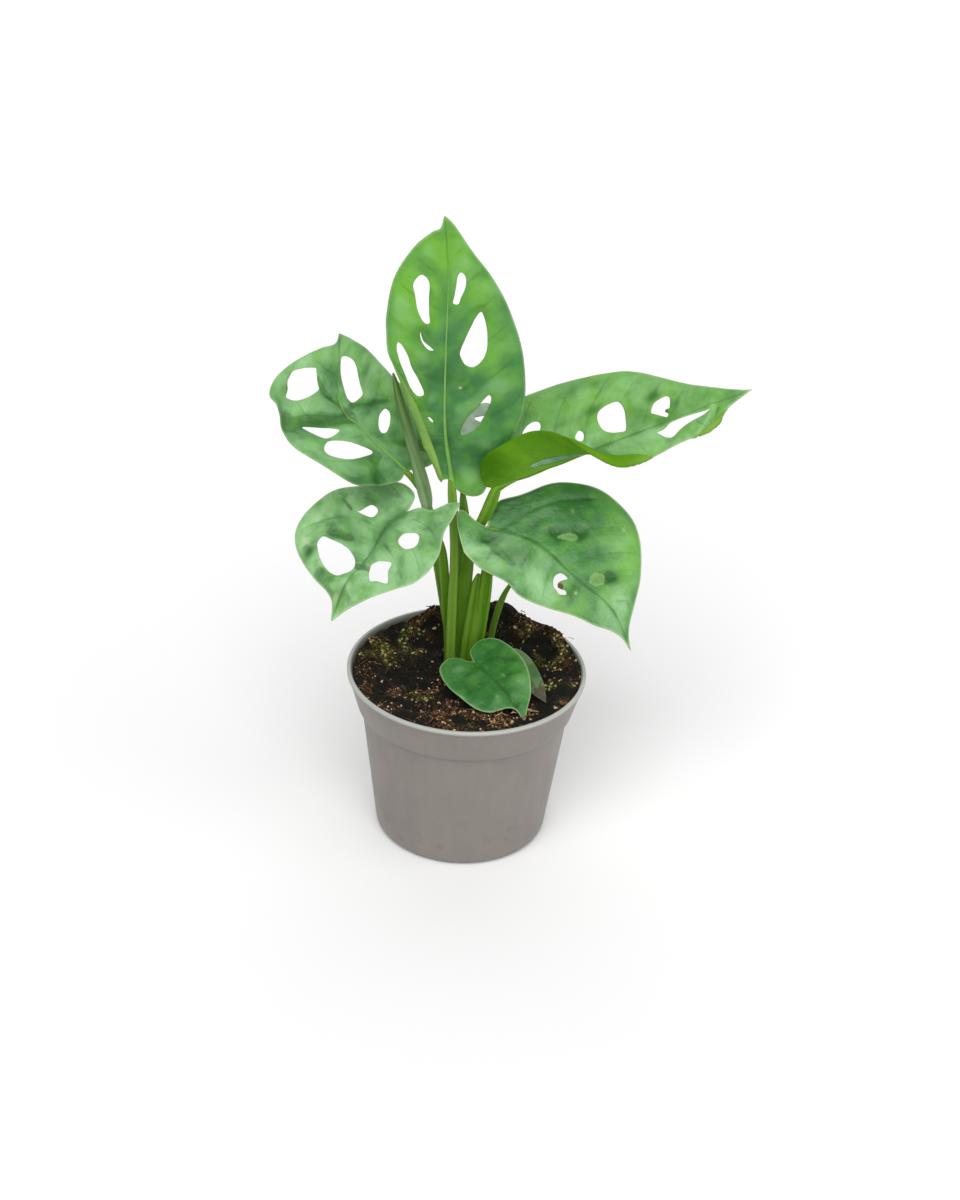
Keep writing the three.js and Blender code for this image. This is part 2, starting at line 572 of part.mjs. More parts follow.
function potGeometry() {
  const { height, floor } = POT;
  const bandFoot = height - POT.bandHeight;
  const lipFoot = height - POT.lipHeight;
  const foot = bodyRadius(0) - POT.footRound;
  const profile = [[0, 0], [foot, 0]];
  for (let k = 1; k <= 3; k += 1) {
    const angle = (k * Math.PI) / 6;
    const z = POT.footRound * (1 - Math.cos(angle));
    profile.push([foot + (bodyRadius(z) - foot) * Math.sin(angle), z]);
  }
  profile.push([bodyRadius(bandFoot - 0.5), bandFoot - 0.5], [POT.bandFootRadius - 0.3, bandFoot]);
  profile.push([POT.bandFootRadius, bandFoot + 0.4], [POT.bandTopRadius, lipFoot]);
  profile.push([POT.rimRadius, lipFoot + 0.4], [POT.rimRadius, height - 0.4]);
  profile.push([POT.rimRadius - 0.4, height], [innerRadius(height) + 0.3, height]);
  profile.push([innerRadius(height - 0.4), height - 0.4], [innerRadius(bandFoot), bandFoot]);
  profile.push([innerRadius(bandFoot - 1), bandFoot - 1], [innerRadius(floor + 3), floor + 3]);
  profile.push([innerRadius(floor) - 2.4, floor], [0, floor]);
  const cup = new THREE.LatheGeometry(profile.map(([r, z]) => new THREE.Vector2(r, z)), POT.sides);
  cup.rotateX(Math.PI / 2);
  let solid = manifoldFrom(cup);
  if (solid.volume() < 0) throw new Error('the pot is inside out');
  for (let k = 0; k < POT.drainHoles; k += 1) {
    const angle = (2 * Math.PI * (k + 0.5)) / POT.drainHoles;
    const drill = new THREE.CylinderGeometry(POT.drainRadius, POT.drainRadius, 4 * floor, 16);
    drill.rotateX(Math.PI / 2);
    drill.translate(POT.drainRing * Math.cos(angle), POT.drainRing * Math.sin(angle), 0);
    solid = solid.subtract(manifoldFrom(drill));
  }
  return geometryFromManifold(solid);
}

function soilHeight(x, y) {
  const heaps = SOIL.heaps.map(([cx, cy, height, spread]) =>
    height * Math.exp(-((x - cx) ** 2 + (y - cy) ** 2) / spread ** 2));
  const edge = SOIL.edgeRise * (Math.hypot(x, y) / innerRadius(SOIL.level)) ** 3;
  return heaps.reduce((sum, heap) => sum + heap, SOIL.level + edge);
}

// Soil: a lumpy round top on a plug that fills the pot, with a plain hole for each stem.
function soilGeometry(stems) {
  const random = seededRandom(7);
  const { floor } = POT;
  const { sides, rings, clearance } = SOIL;
  const bandFoot = POT.height - POT.bandHeight;
  const loops = [];
  const plug = (radius, z) => loops.push(() => [radius - clearance, z]);
  plug(innerRadius(floor) - 2.4, floor + clearance);
  plug(innerRadius(floor + 3), floor + 3 + clearance);
  plug(innerRadius(bandFoot - 1), bandFoot - 1);
  plug(innerRadius(bandFoot), bandFoot + 0.5);
  for (let ring = rings; ring > 0; ring -= 1) {
    loops.push((angle) => {
      const nearWall = innerRadius(SOIL.level) - clearance;
      const level = soilHeight(nearWall * Math.cos(angle), nearWall * Math.sin(angle));
      const radius = (ring / rings) * (innerRadius(level) - clearance);
      const z = soilHeight(radius * Math.cos(angle), radius * Math.sin(angle));
      return [radius, z + SOIL.roughness * (2 * random() - 1)];
    });
  }
  const positions = [];
  loops.forEach((loop) => {
    for (let side = 0; side < sides; side += 1) {
      const angle = (2 * Math.PI * side) / sides;
      const [radius, z] = loop(angle);
      positions.push(radius * Math.cos(angle), radius * Math.sin(angle), z);
    }
  });
  const index = [];
  for (let loop = 0; loop < loops.length - 1; loop += 1) {
    for (let side = 0; side < sides; side += 1) {
      const a = loop * sides + side;
      const b = loop * sides + ((side + 1) % sides);
      index.push(a, b, a + sides, b, b + sides, a + sides);
    }
  }
  const bottom = positions.length / 3;
  positions.push(0, 0, floor + clearance);
  positions.push(0, 0, soilHeight(0, 0));
  const last = (loops.length - 1) * sides;
  for (let side = 0; side < sides; side += 1) {
    const next = (side + 1) % sides;
    index.push(bottom, next, side, bottom + 1, last + side, last + next);
  }
  let solid = manifoldFrom(geometryFrom(positions, index));
  stems.forEach((stem) => {
    solid = solid.subtract(stemSolid(stem, HOLE_CLEARANCE));
  });
  return geometryFromManifold(solid);
}

function addPiece(group, name, geometry, material) {
  const mesh = new THREE.Mesh(geometry, material);
  mesh.name = name;
  group.add(mesh);
}

const plant = new THREE.Group();
addPiece(plant, 'pot', potGeometry(), GREY_PLASTIC);
const rooted = Object.entries(STEMS).filter(([name]) => name !== 'new_leaf_rolled').map(([, stem]) => stem);
addPiece(plant, 'soil', soilGeometry(rooted), DARK_SOIL);
Object.entries(BLADES).forEach(([name, blade]) => addPiece(plant, name, bladeGeometry(blade), GREEN_BLADE));
Object.entries(STEMS).forEach(([name, stem]) => {
  addPiece(plant, name, geometryFromManifold(stemSolid(stem)), GREEN_STEM);
});

export default plant;
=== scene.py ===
"""Potted swiss cheese vine: the looks of a young perforated-leaf plant in a small nursery pot.

Metres in the scene, millimetres in the tables below, +Z up, and -Y is the front.
"""

import math
import math
from functools import partial
import bmesh
import bpy
import numpy as np
from mathutils import Matrix, Vector, noise
from mathutils.geometry import delaunay_2d_cdt


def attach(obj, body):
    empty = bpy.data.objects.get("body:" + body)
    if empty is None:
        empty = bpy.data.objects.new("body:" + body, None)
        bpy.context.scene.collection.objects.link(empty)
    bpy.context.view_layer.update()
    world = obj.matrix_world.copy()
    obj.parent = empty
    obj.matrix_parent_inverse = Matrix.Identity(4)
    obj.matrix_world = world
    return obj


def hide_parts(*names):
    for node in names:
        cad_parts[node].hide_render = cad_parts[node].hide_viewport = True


bl_info = {
    "name": "Potted Swiss Cheese Vine",
    "version": (1, 0, 0),
    "blender": (4, 5, 0),
    "location": "View3D > Sidebar > Potted Vine",
    "description": "Builds a young plant with perforated leaves in a grey nursery pot",
    "category": "Add Mesh",
}

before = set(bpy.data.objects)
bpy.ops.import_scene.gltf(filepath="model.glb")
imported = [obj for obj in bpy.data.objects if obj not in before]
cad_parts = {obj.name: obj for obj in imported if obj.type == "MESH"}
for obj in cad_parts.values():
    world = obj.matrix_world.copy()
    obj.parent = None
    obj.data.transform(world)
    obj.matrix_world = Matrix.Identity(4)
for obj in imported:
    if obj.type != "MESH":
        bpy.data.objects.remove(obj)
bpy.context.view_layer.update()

# One millimetre, how many millimetres one unit of the flat map is, and where the sizes go.
MM = 0.001
UV_SPAN = 100.0

# Radius of the fold along a midrib and of a folded hem, and how deep veins and midribs are pressed in.
FOLD_RADIUS = 0.7
HEM_RADIUS = 0.45
VEIN_DEPTH = 0.12
RIB_DEPTH = 0.22
# How high the relief is where its painted shade and sheen are strongest, and how far the rounded edge reaches
# out.
FULL_RELIEF = 0.6
RIM_REACH = 0.14
# How far the seam of the rolled leaf winds round it, in degrees.
SEAM_TURN = 80

# The camera looks down at the plant from the front: degrees, and millimetres.
CAMERA_ELEVATION = 30.4
CAMERA_ROLL = 2.8
CAMERA_DISTANCE = 700
CAMERA_TARGET = (2.9, 0, 75.3)
SENSOR = 36
FOCAL_LENGTH = 73.59

# Pot: a thin-walled tapered cup with a plain band under its rim and drain holes in its floor.
POT = {
    "height": 52.5,
    "rim_radius": 34.7,
    "lip_height": 1.3,
    "band_top_radius": 34.3,
    "band_height": 11.5,
    "band_foot_radius": 31.5,
    "band_step": 1.2,
    "foot_radius": 25,
    "foot_round": 2,
    "wall": 1.2,
    "floor": 1.3,
    "drain_holes": 6,
    "drain_radius": 3,
    "drain_ring": 15.5,
}

# Soil: its level in the middle, how much higher it stands at the wall, and the heaps and dips of its
# surface.
SOIL = {
    "level": 48,
    "edge_rise": 2.6,
    # x, y and spread of the bare dark hollows, of where crumbs lie thickest, and of the mossy patches
    "hollows": [[-19, -2, 6], [-11, 4, 7], [20, 6, 6], [21, -3, 5], [14, 14, 5]],
    "crumbly": [[-21, -11, 6], [-13, 31, 5], [30, 4, 6], [2, -22, 8], [-28, 0, 4], [12, -24, 6], [26, 16, 6],
                [20, 24, 6]],
    "moss": [[-24, 12, 5], [-19, 15, 5], [-27, 5, 4], [-16, 19, 4], [-13, -14, 3], [25, 13, 5], [19, 18, 4],
             [27, -8, 4], [2, -27, 3]],
    # x, y, height and spread of each heap
    "heaps": [[8, 29, 6.6, 7.5], [-9, 31, 2.8, 6], [24, 20, 2.8, 9], [31, 3, 1, 8], [30, -9, 1.2, 6],
        [0, -27, 0.8, 9], [-17, -20, 1.5, 6], [-14, -2, -1, 8], [16, 6, -1, 7], [15, -21, -1, 7]],
}

# Leaf blades, drawn flat and then bent. x is away from the midrib, y along it from base to tip.
# base is where the petiole meets the blade. azimuth, rise and roll turn it: azimuth 0 points along
# +X and rise is above the horizontal. sway and arch move the midrib sideways and along the normal.
# tilt lifts a half in degrees, curl rolls it in degrees per mm beyond the distance flat from the
# midrib, all keyed by the fraction of the length.
BLADES = {
    "leaf_top": {
        "base": [-6.6, 2, 112.4], "azimuth": 122, "rise": 83, "roll": -26, "length": 75.3,
        "sway": [[0, 0], [0.2, -1.5], [0.5, -0.8], [0.8, 0.5], [1, 0]],
        "arch": [[0, 0], [0.5, 2], [1, 0]],
        "left": {
            "tilt": [[0, 8], [1, 0]],
            "flat": [[0, 1.2], [0.12, 3.6], [0.25, 6.7], [0.37, 9.8], [0.46, 12], [0.54, 14.5], [0.6, 18]],
            "curl": [[0, 26], [0.5, 26], [0.62, 0]],
            "edge": [[1.6, 0.5], [4.2, 0.5], [6.8, 1.8], [9.3, 8], [11.8, 16], [14.3, 25], [15.8, 34],
                [16.2, 43], [16.4, 50], [14.4, 59.5], [9, 67], [3.7, 71], [1.2, 72.1]],
        },
        "right": {
            "tilt": [[0, 5], [0.6, -6], [1, 0]],
            "edge": [[1.3, -2.8], [5, -4.9], [8.7, -3.9], [11.5, 3], [18.4, 12.5], [22, 22], [21.2, 36],
                [17.2, 48], [12.3, 57.2], [6.9, 65], [2.3, 72.8]],
        },
    },
    "leaf_upper_left": {
        "base": [-19.8, 6, 112.7], "azimuth": 142, "rise": 43, "roll": -8, "length": 43.3,
        "sway": [[0, 0], [0.3, -6.3], [0.57, -8.8], [0.75, -2.7], [1, 7.2]],
        "arch": [[0, 0], [0.45, 4], [0.9, 0], [1, -1.5]],
        "left": {
            "tilt": [[0, 6], [0.65, 0], [1, 0]],
            "edge": [[3, -1.7], [7, -1.5], [12, 0.2], [17, 3], [18.9, 10], [21.5, 18], [20.9, 27],
                [22.6, 32], [25.6, 36], [23.6, 39.6], [17, 41.4], [8, 41.6], [1.6, 41]],
        },
        "right": {
            "tilt": [[0, 10], [0.65, 0], [1, 0]],
            "edge": [[4.5, -1.8], [9.5, -1.8], [14, 2.5], [18, 9], [20.3, 16.5], [19.8, 24.5], [14.4, 31.4],
                [9.8, 36], [4.5, 40.1]],
        },
    },
    "leaf_lower_left": {
        "base": [-18.8, 2, 101.6], "azimuth": -140, "rise": -29, "roll": -14, "length": 38,
        "sway": [[0, 0], [0.2, 0], [0.46, -3.9], [0.75, -5], [1, -9.3]],
        "arch": [[0, 0], [0.5, 3], [1, 0]],
        "left": {
            "tilt": [[0, 12], [0.8, 0], [1, 0]],
            "edge": [[2.2, -3.2], [6, -4.6], [8.8, -9.4], [11.5, -10.6], [13.3, -7], [15.4, -1],
                [20.3, 5.3], [20.6, 10.5], [17.5, 15.8], [13, 21], [8.3, 27.5], [3.5, 33]],
        },
        "right": {
            "tilt": [[0, 4], [1, 0]],
            "edge": [[1.5, -4.2], [4, -5.8], [8.5, -5.2], [12.5, -1], [17, 4.8], [21, 10.5], [23.8, 16.5],
                [24.2, 21.5], [22.3, 26.5], [18, 30], [11, 32], [5, 32.6], [1.9, 34]],
        },
    },
    "leaf_right": {
        "base": [5.5, 1.6, 111], "azimuth": 5, "rise": 24, "roll": 20, "length": 76,
        "left": {
            "tilt": [[0, 10], [0.5, 4], [1, 0]],
            "edge": [[2, -3], [8, -5.6], [15, -4.6], [21, 0], [24.8, 8], [25.9, 20], [25.4, 32], [23, 43.5],
                [17.5, 51.5], [10.3, 59.7], [4.4, 68], [1, 73.5]],
        },
        "right": {
            "tilt": [[0, 85], [0.2, 85], [0.55, -5], [1, -10]],
            "curl": [[0, 2.5], [0.2, 2.5], [0.55, 0], [1, 0]],
            "edge": [[3, -2.2], [8, -1.5], [12, 1.5], [12.9, 9], [14.3, 18], [15.6, 25], [14.6, 32],
                [11.2, 38.5], [9, 45], [7.6, 52], [7.6, 60], [6.2, 64.6], [4.2, 66.2], [2, 70]],
        },
    },
    "leaf_lower_right": {
        "base": [4.1, 1, 98.4], "azimuth": -29, "rise": -27, "roll": 24, "length": 53,
        "sway": [[0, 0], [0.11, -3], [0.25, -5], [0.5, -4], [0.8, -4.6], [1, 0]],
        "arch": [[0, 0], [0.5, 4], [1, 0]],
        "left": {
            "tilt": [[0, 12], [0.6, 2], [1, 0]],
            "edge": [[1.4, -1], [3.6, -1.6], [6.1, -2.5], [8.7, -2.6], [14, 1], [19.5, 4.7], [22.7, 10.7],
                [25.2, 19.5], [25.2, 28], [21, 34.5], [13.1, 41.3], [4.6, 46.6], [1.6, 49.2]],
        },
        "right": {
            "tilt": [[0, -4], [0.3, -28], [0.7, -28], [1, -5]],
            "edge": [[0.9, -3.5], [1.1, -8.6], [4, -8.2], [8.9, -2], [13.6, 6], [14, 14.2], [14.6, 19.5],
                [12, 26.8], [9, 34.2], [6.6, 41], [3.2, 45.6], [0.9, 49.3]],
        },
    },
    "leaf_small_front": {
        "base": [2, -4, 56.9], "azimuth": -53, "rise": -15, "roll": 18, "length": 26,
        "sway": [[0, 0], [0.75, -1], [1, 0]],
        "arch": [[0, 0], [0.5, 1.5], [1, 0]],
        "left": {
            "tilt": [[0, 6], [1, 0]],
            "edge": [[1, -3.4], [4.2, -5], [7.7, -4.2], [10.3, -1], [11, 4.8], [9.8, 11.5], [6.3, 18.5],
                [2.6, 22.8], [1.1, 24.8]],
        },
        "right": {
            "tilt": [[0, 6], [1, 0]],
            "edge": [[1.3, -1.2], [3.2, -3.8], [6, -4.9], [9.4, -3.4], [11, 0.6], [11.6, 7], [10.4, 14.5],
                [7.2, 18.4], [2.8, 19.6], [0.6, 21.4]],
        },
    },
    "leaf_small_side": {
        "base": [10.9, 3.2, 55.4], "azimuth": -54, "rise": -13, "roll": 6, "length": 21.5,
        "arch": [[0, 0], [0.5, 1.2], [1, 0]],
        "left": {
            "tilt": [[0, 6], [1, 0]],
            "edge": [[1.5, -1.8], [4.4, 0.5], [5, 5], [4.2, 11], [2.4, 17]],
        },
        "right": {
            "tilt": [[0, 6], [1, 0]],
            "edge": [[1.5, -1.8], [4.2, 0.5], [4.8, 5], [4, 11], [2.2, 17]],
        },
    },
}

# Stems: each is one or two oval strands. A route runs from the foot in the soil upwards, and the
# half width and half depth are keyed by the fraction of the route. channel is how wide and deep the
# groove along the upper side is at the foot and at the top, as a share of the half depth, and the
# angle round the strand that it faces, with 270 the front. tone is how pale it is at both ends.
STEMS = {
    "leaf_top_petiole": [{
        "route": [[-4.6, 5.6, 39], [-5, 5.3, 57], [-5, 4.8, 69], [-5, 4.1, 86], [-5.5, 3.9, 97],
            [-6.1, 3.1, 105], [-6.5, 2.4, 110.1]],
        "width": [[0, 1.4], [0.4, 1.35], [0.7, 1.2], [1, 1.2]],
        "depth": [[0, 1.4], [0.5, 1.25], [1, 1.1]],
        "channel": [0.3, 0.18, 270], "tone": [0.75, 0.7],
    }],
    "leaf_upper_left_petiole": [{
        "route": [[-4.3, 12.9, 40], [-5, 12.4, 53], [-7.4, 11, 68.5], [-9.7, 9.8, 82.5], [-12, 7.8, 95],
            [-13.8, 7, 103.5], [-16.8, 6.6, 108.6], [-19.1, 6.2, 111.6]],
        "width": [[0, 1.5], [0.5, 1.7], [0.74, 1.6], [0.86, 1.05], [1, 0.95]],
        "depth": [[0, 1.3], [0.74, 1.3], [0.86, 1], [1, 0.9]],
        "channel": [0.45, 0.15, 300], "tone": [0, 0.9],
    }],
    "leaf_lower_left_petiole": [{
        "route": [[-5.4, 9.1, 40], [-5.9, 8.9, 58], [-6.9, 8, 69.5], [-7.5, 7, 78], [-9.2, 5.3, 90],
            [-12.6, 3.9, 96.6], [-15.7, 2.9, 99.5], [-17.9, 2.3, 100.8]],
        "width": [[0, 1.2], [0.5, 1.35], [0.72, 1.25], [0.85, 1], [1, 0.95]],
        "depth": [[0, 1.1], [0.7, 1.1], [0.85, 0.95], [1, 0.9]],
        "channel": [0.35, 0.2, 270], "tone": [0, 0.2],
    }],
    "leaf_right_petiole": [{
        "route": [[-1.5, 10.1, 40], [-1.7, 9.6, 54.7], [-2.3, 8.9, 66.5], [-2.3, 8.1, 78], [-2, 7.6, 86],
            [-2.5, 7.1, 95], [-2.9, 6.9, 100.5], [-3.5, 6.6, 107]],
        "width": [[0, 2.3], [0.4, 2.6], [0.56, 2.8], [0.72, 2.5], [0.84, 1.7], [0.95, 1], [1, 0.6]],
        "depth": [[0, 1.4], [0.7, 1.4], [0.9, 0.9], [1, 0.6]],
        # This sheath's paleness is partly painted light, as it lies in shade between the other stems.
        "channel": [0.3, 0.25, 275], "tone": [0.2, 0.35],
    }, {
        "route": [[-2, 8, 80], [-2.2, 7.4, 86], [-0.8, 6.3, 90.7], [0.8, 5, 94.7], [2.5, 3.2, 99.5],
            [4, 2, 104], [5.2, 1.7, 107.9], [5.7, 1.6, 109.6]],
        "width": [[0, 1.2], [0.3, 1.6], [0.6, 1.5], [1, 1.6]],
        "depth": [[0, 1], [0.3, 1.3], [1, 1.3]],
        "channel": [0.2, 0.2, 250], "tone": [0, 0.3],
    }],
    "leaf_lower_right_petiole": [{
        "route": [[2.2, 7, 40], [2.8, 6.9, 56.6], [3.4, 6.6, 63], [4.1, 5.9, 72.5], [4.5, 5.2, 80],
            [4.6, 4, 87], [4.2, 1.8, 97]],
        "width": [[0, 1.6], [0.4, 1.8], [0.6, 1.9], [0.75, 1.6], [0.85, 1.2], [1, 1.15]],
        "depth": [[0, 1.3], [0.6, 1.4], [0.85, 1.1], [1, 1.1]],
        "channel": [0.35, 0.2, 255], "tone": [0, 0.2],
    }, {
        "route": [[-0.5, 6.8, 40], [0.1, 6.5, 56.7], [0.6, 6.3, 62.5], [1.4, 6.1, 71], [2, 5.8, 78],
            [2.2, 5.7, 80.3]],
        "width": [[0, 2.2], [0.6, 2], [0.85, 1.7], [0.95, 1.4], [1, 0.7]],
        "depth": [[0, 1.1], [0.85, 1], [1, 0.6]],
        "channel": [0.5, 0.5, 265], "tone": [0.05, 0.4],
    }],
    "leaf_small_front_petiole": [{
        "route": [[0.6, 1.2, 41], [0.7, 0.8, 48], [1.2, -1, 53.5], [1.8, -3.2, 56.2]],
        "width": [[0, 1], [1, 0.8]],
        "depth": [[0, 1], [1, 0.8]],
        "channel": [0.15, 0.1, 270], "tone": [0.3, 0.3],
    }],
    "leaf_small_side_petiole": [{
        "route": [[7.6, 7.4, 42], [8, 7, 49], [9.2, 5.2, 53.4], [10.3, 3.9, 55]],
        "width": [[0, 0.9], [1, 0.7]],
        "depth": [[0, 0.9], [1, 0.7]],
        "channel": [0.15, 0.1, 270], "tone": [0.5, 0.5],
    }],
    "side_petiole": [{
        "route": [[5.6, 16.5, 42], [6.7, 15.6, 54], [8.3, 13.9, 64], [10.1, 12.2, 71], [12.2, 10.7, 76]],
        "width": [[0, 1.25], [0.45, 1], [0.75, 0.95], [0.88, 0.7], [1, 0.55]],
        "depth": [[0, 1.2], [0.75, 0.9], [1, 0.55]],
        "channel": [0.2, 0.1, 250], "tone": [0.6, 0.5],
    }],
    "new_leaf_rolled": [{
        "route": [[-13, 4.9, 100], [-14, 4.5, 106], [-16.6, 3.4, 116.7], [-18.9, 2.6, 125.7],
            [-21.5, 1.6, 135.7], [-23.6, 0.7, 144.7]],
        "rolled": 0.16,
        "width": [[0, 1.2], [0.12, 1.9], [0.4, 1.7], [0.75, 1.4], [0.93, 0.8], [1, 0.3]],
        "depth": [[0, 0.9], [0.12, 1.5], [0.4, 1.4], [0.75, 1.3], [0.93, 0.8], [1, 0.35]],
        "channel": [0, 0, 235], "tone": [1.3, -0.2],
    }],
}
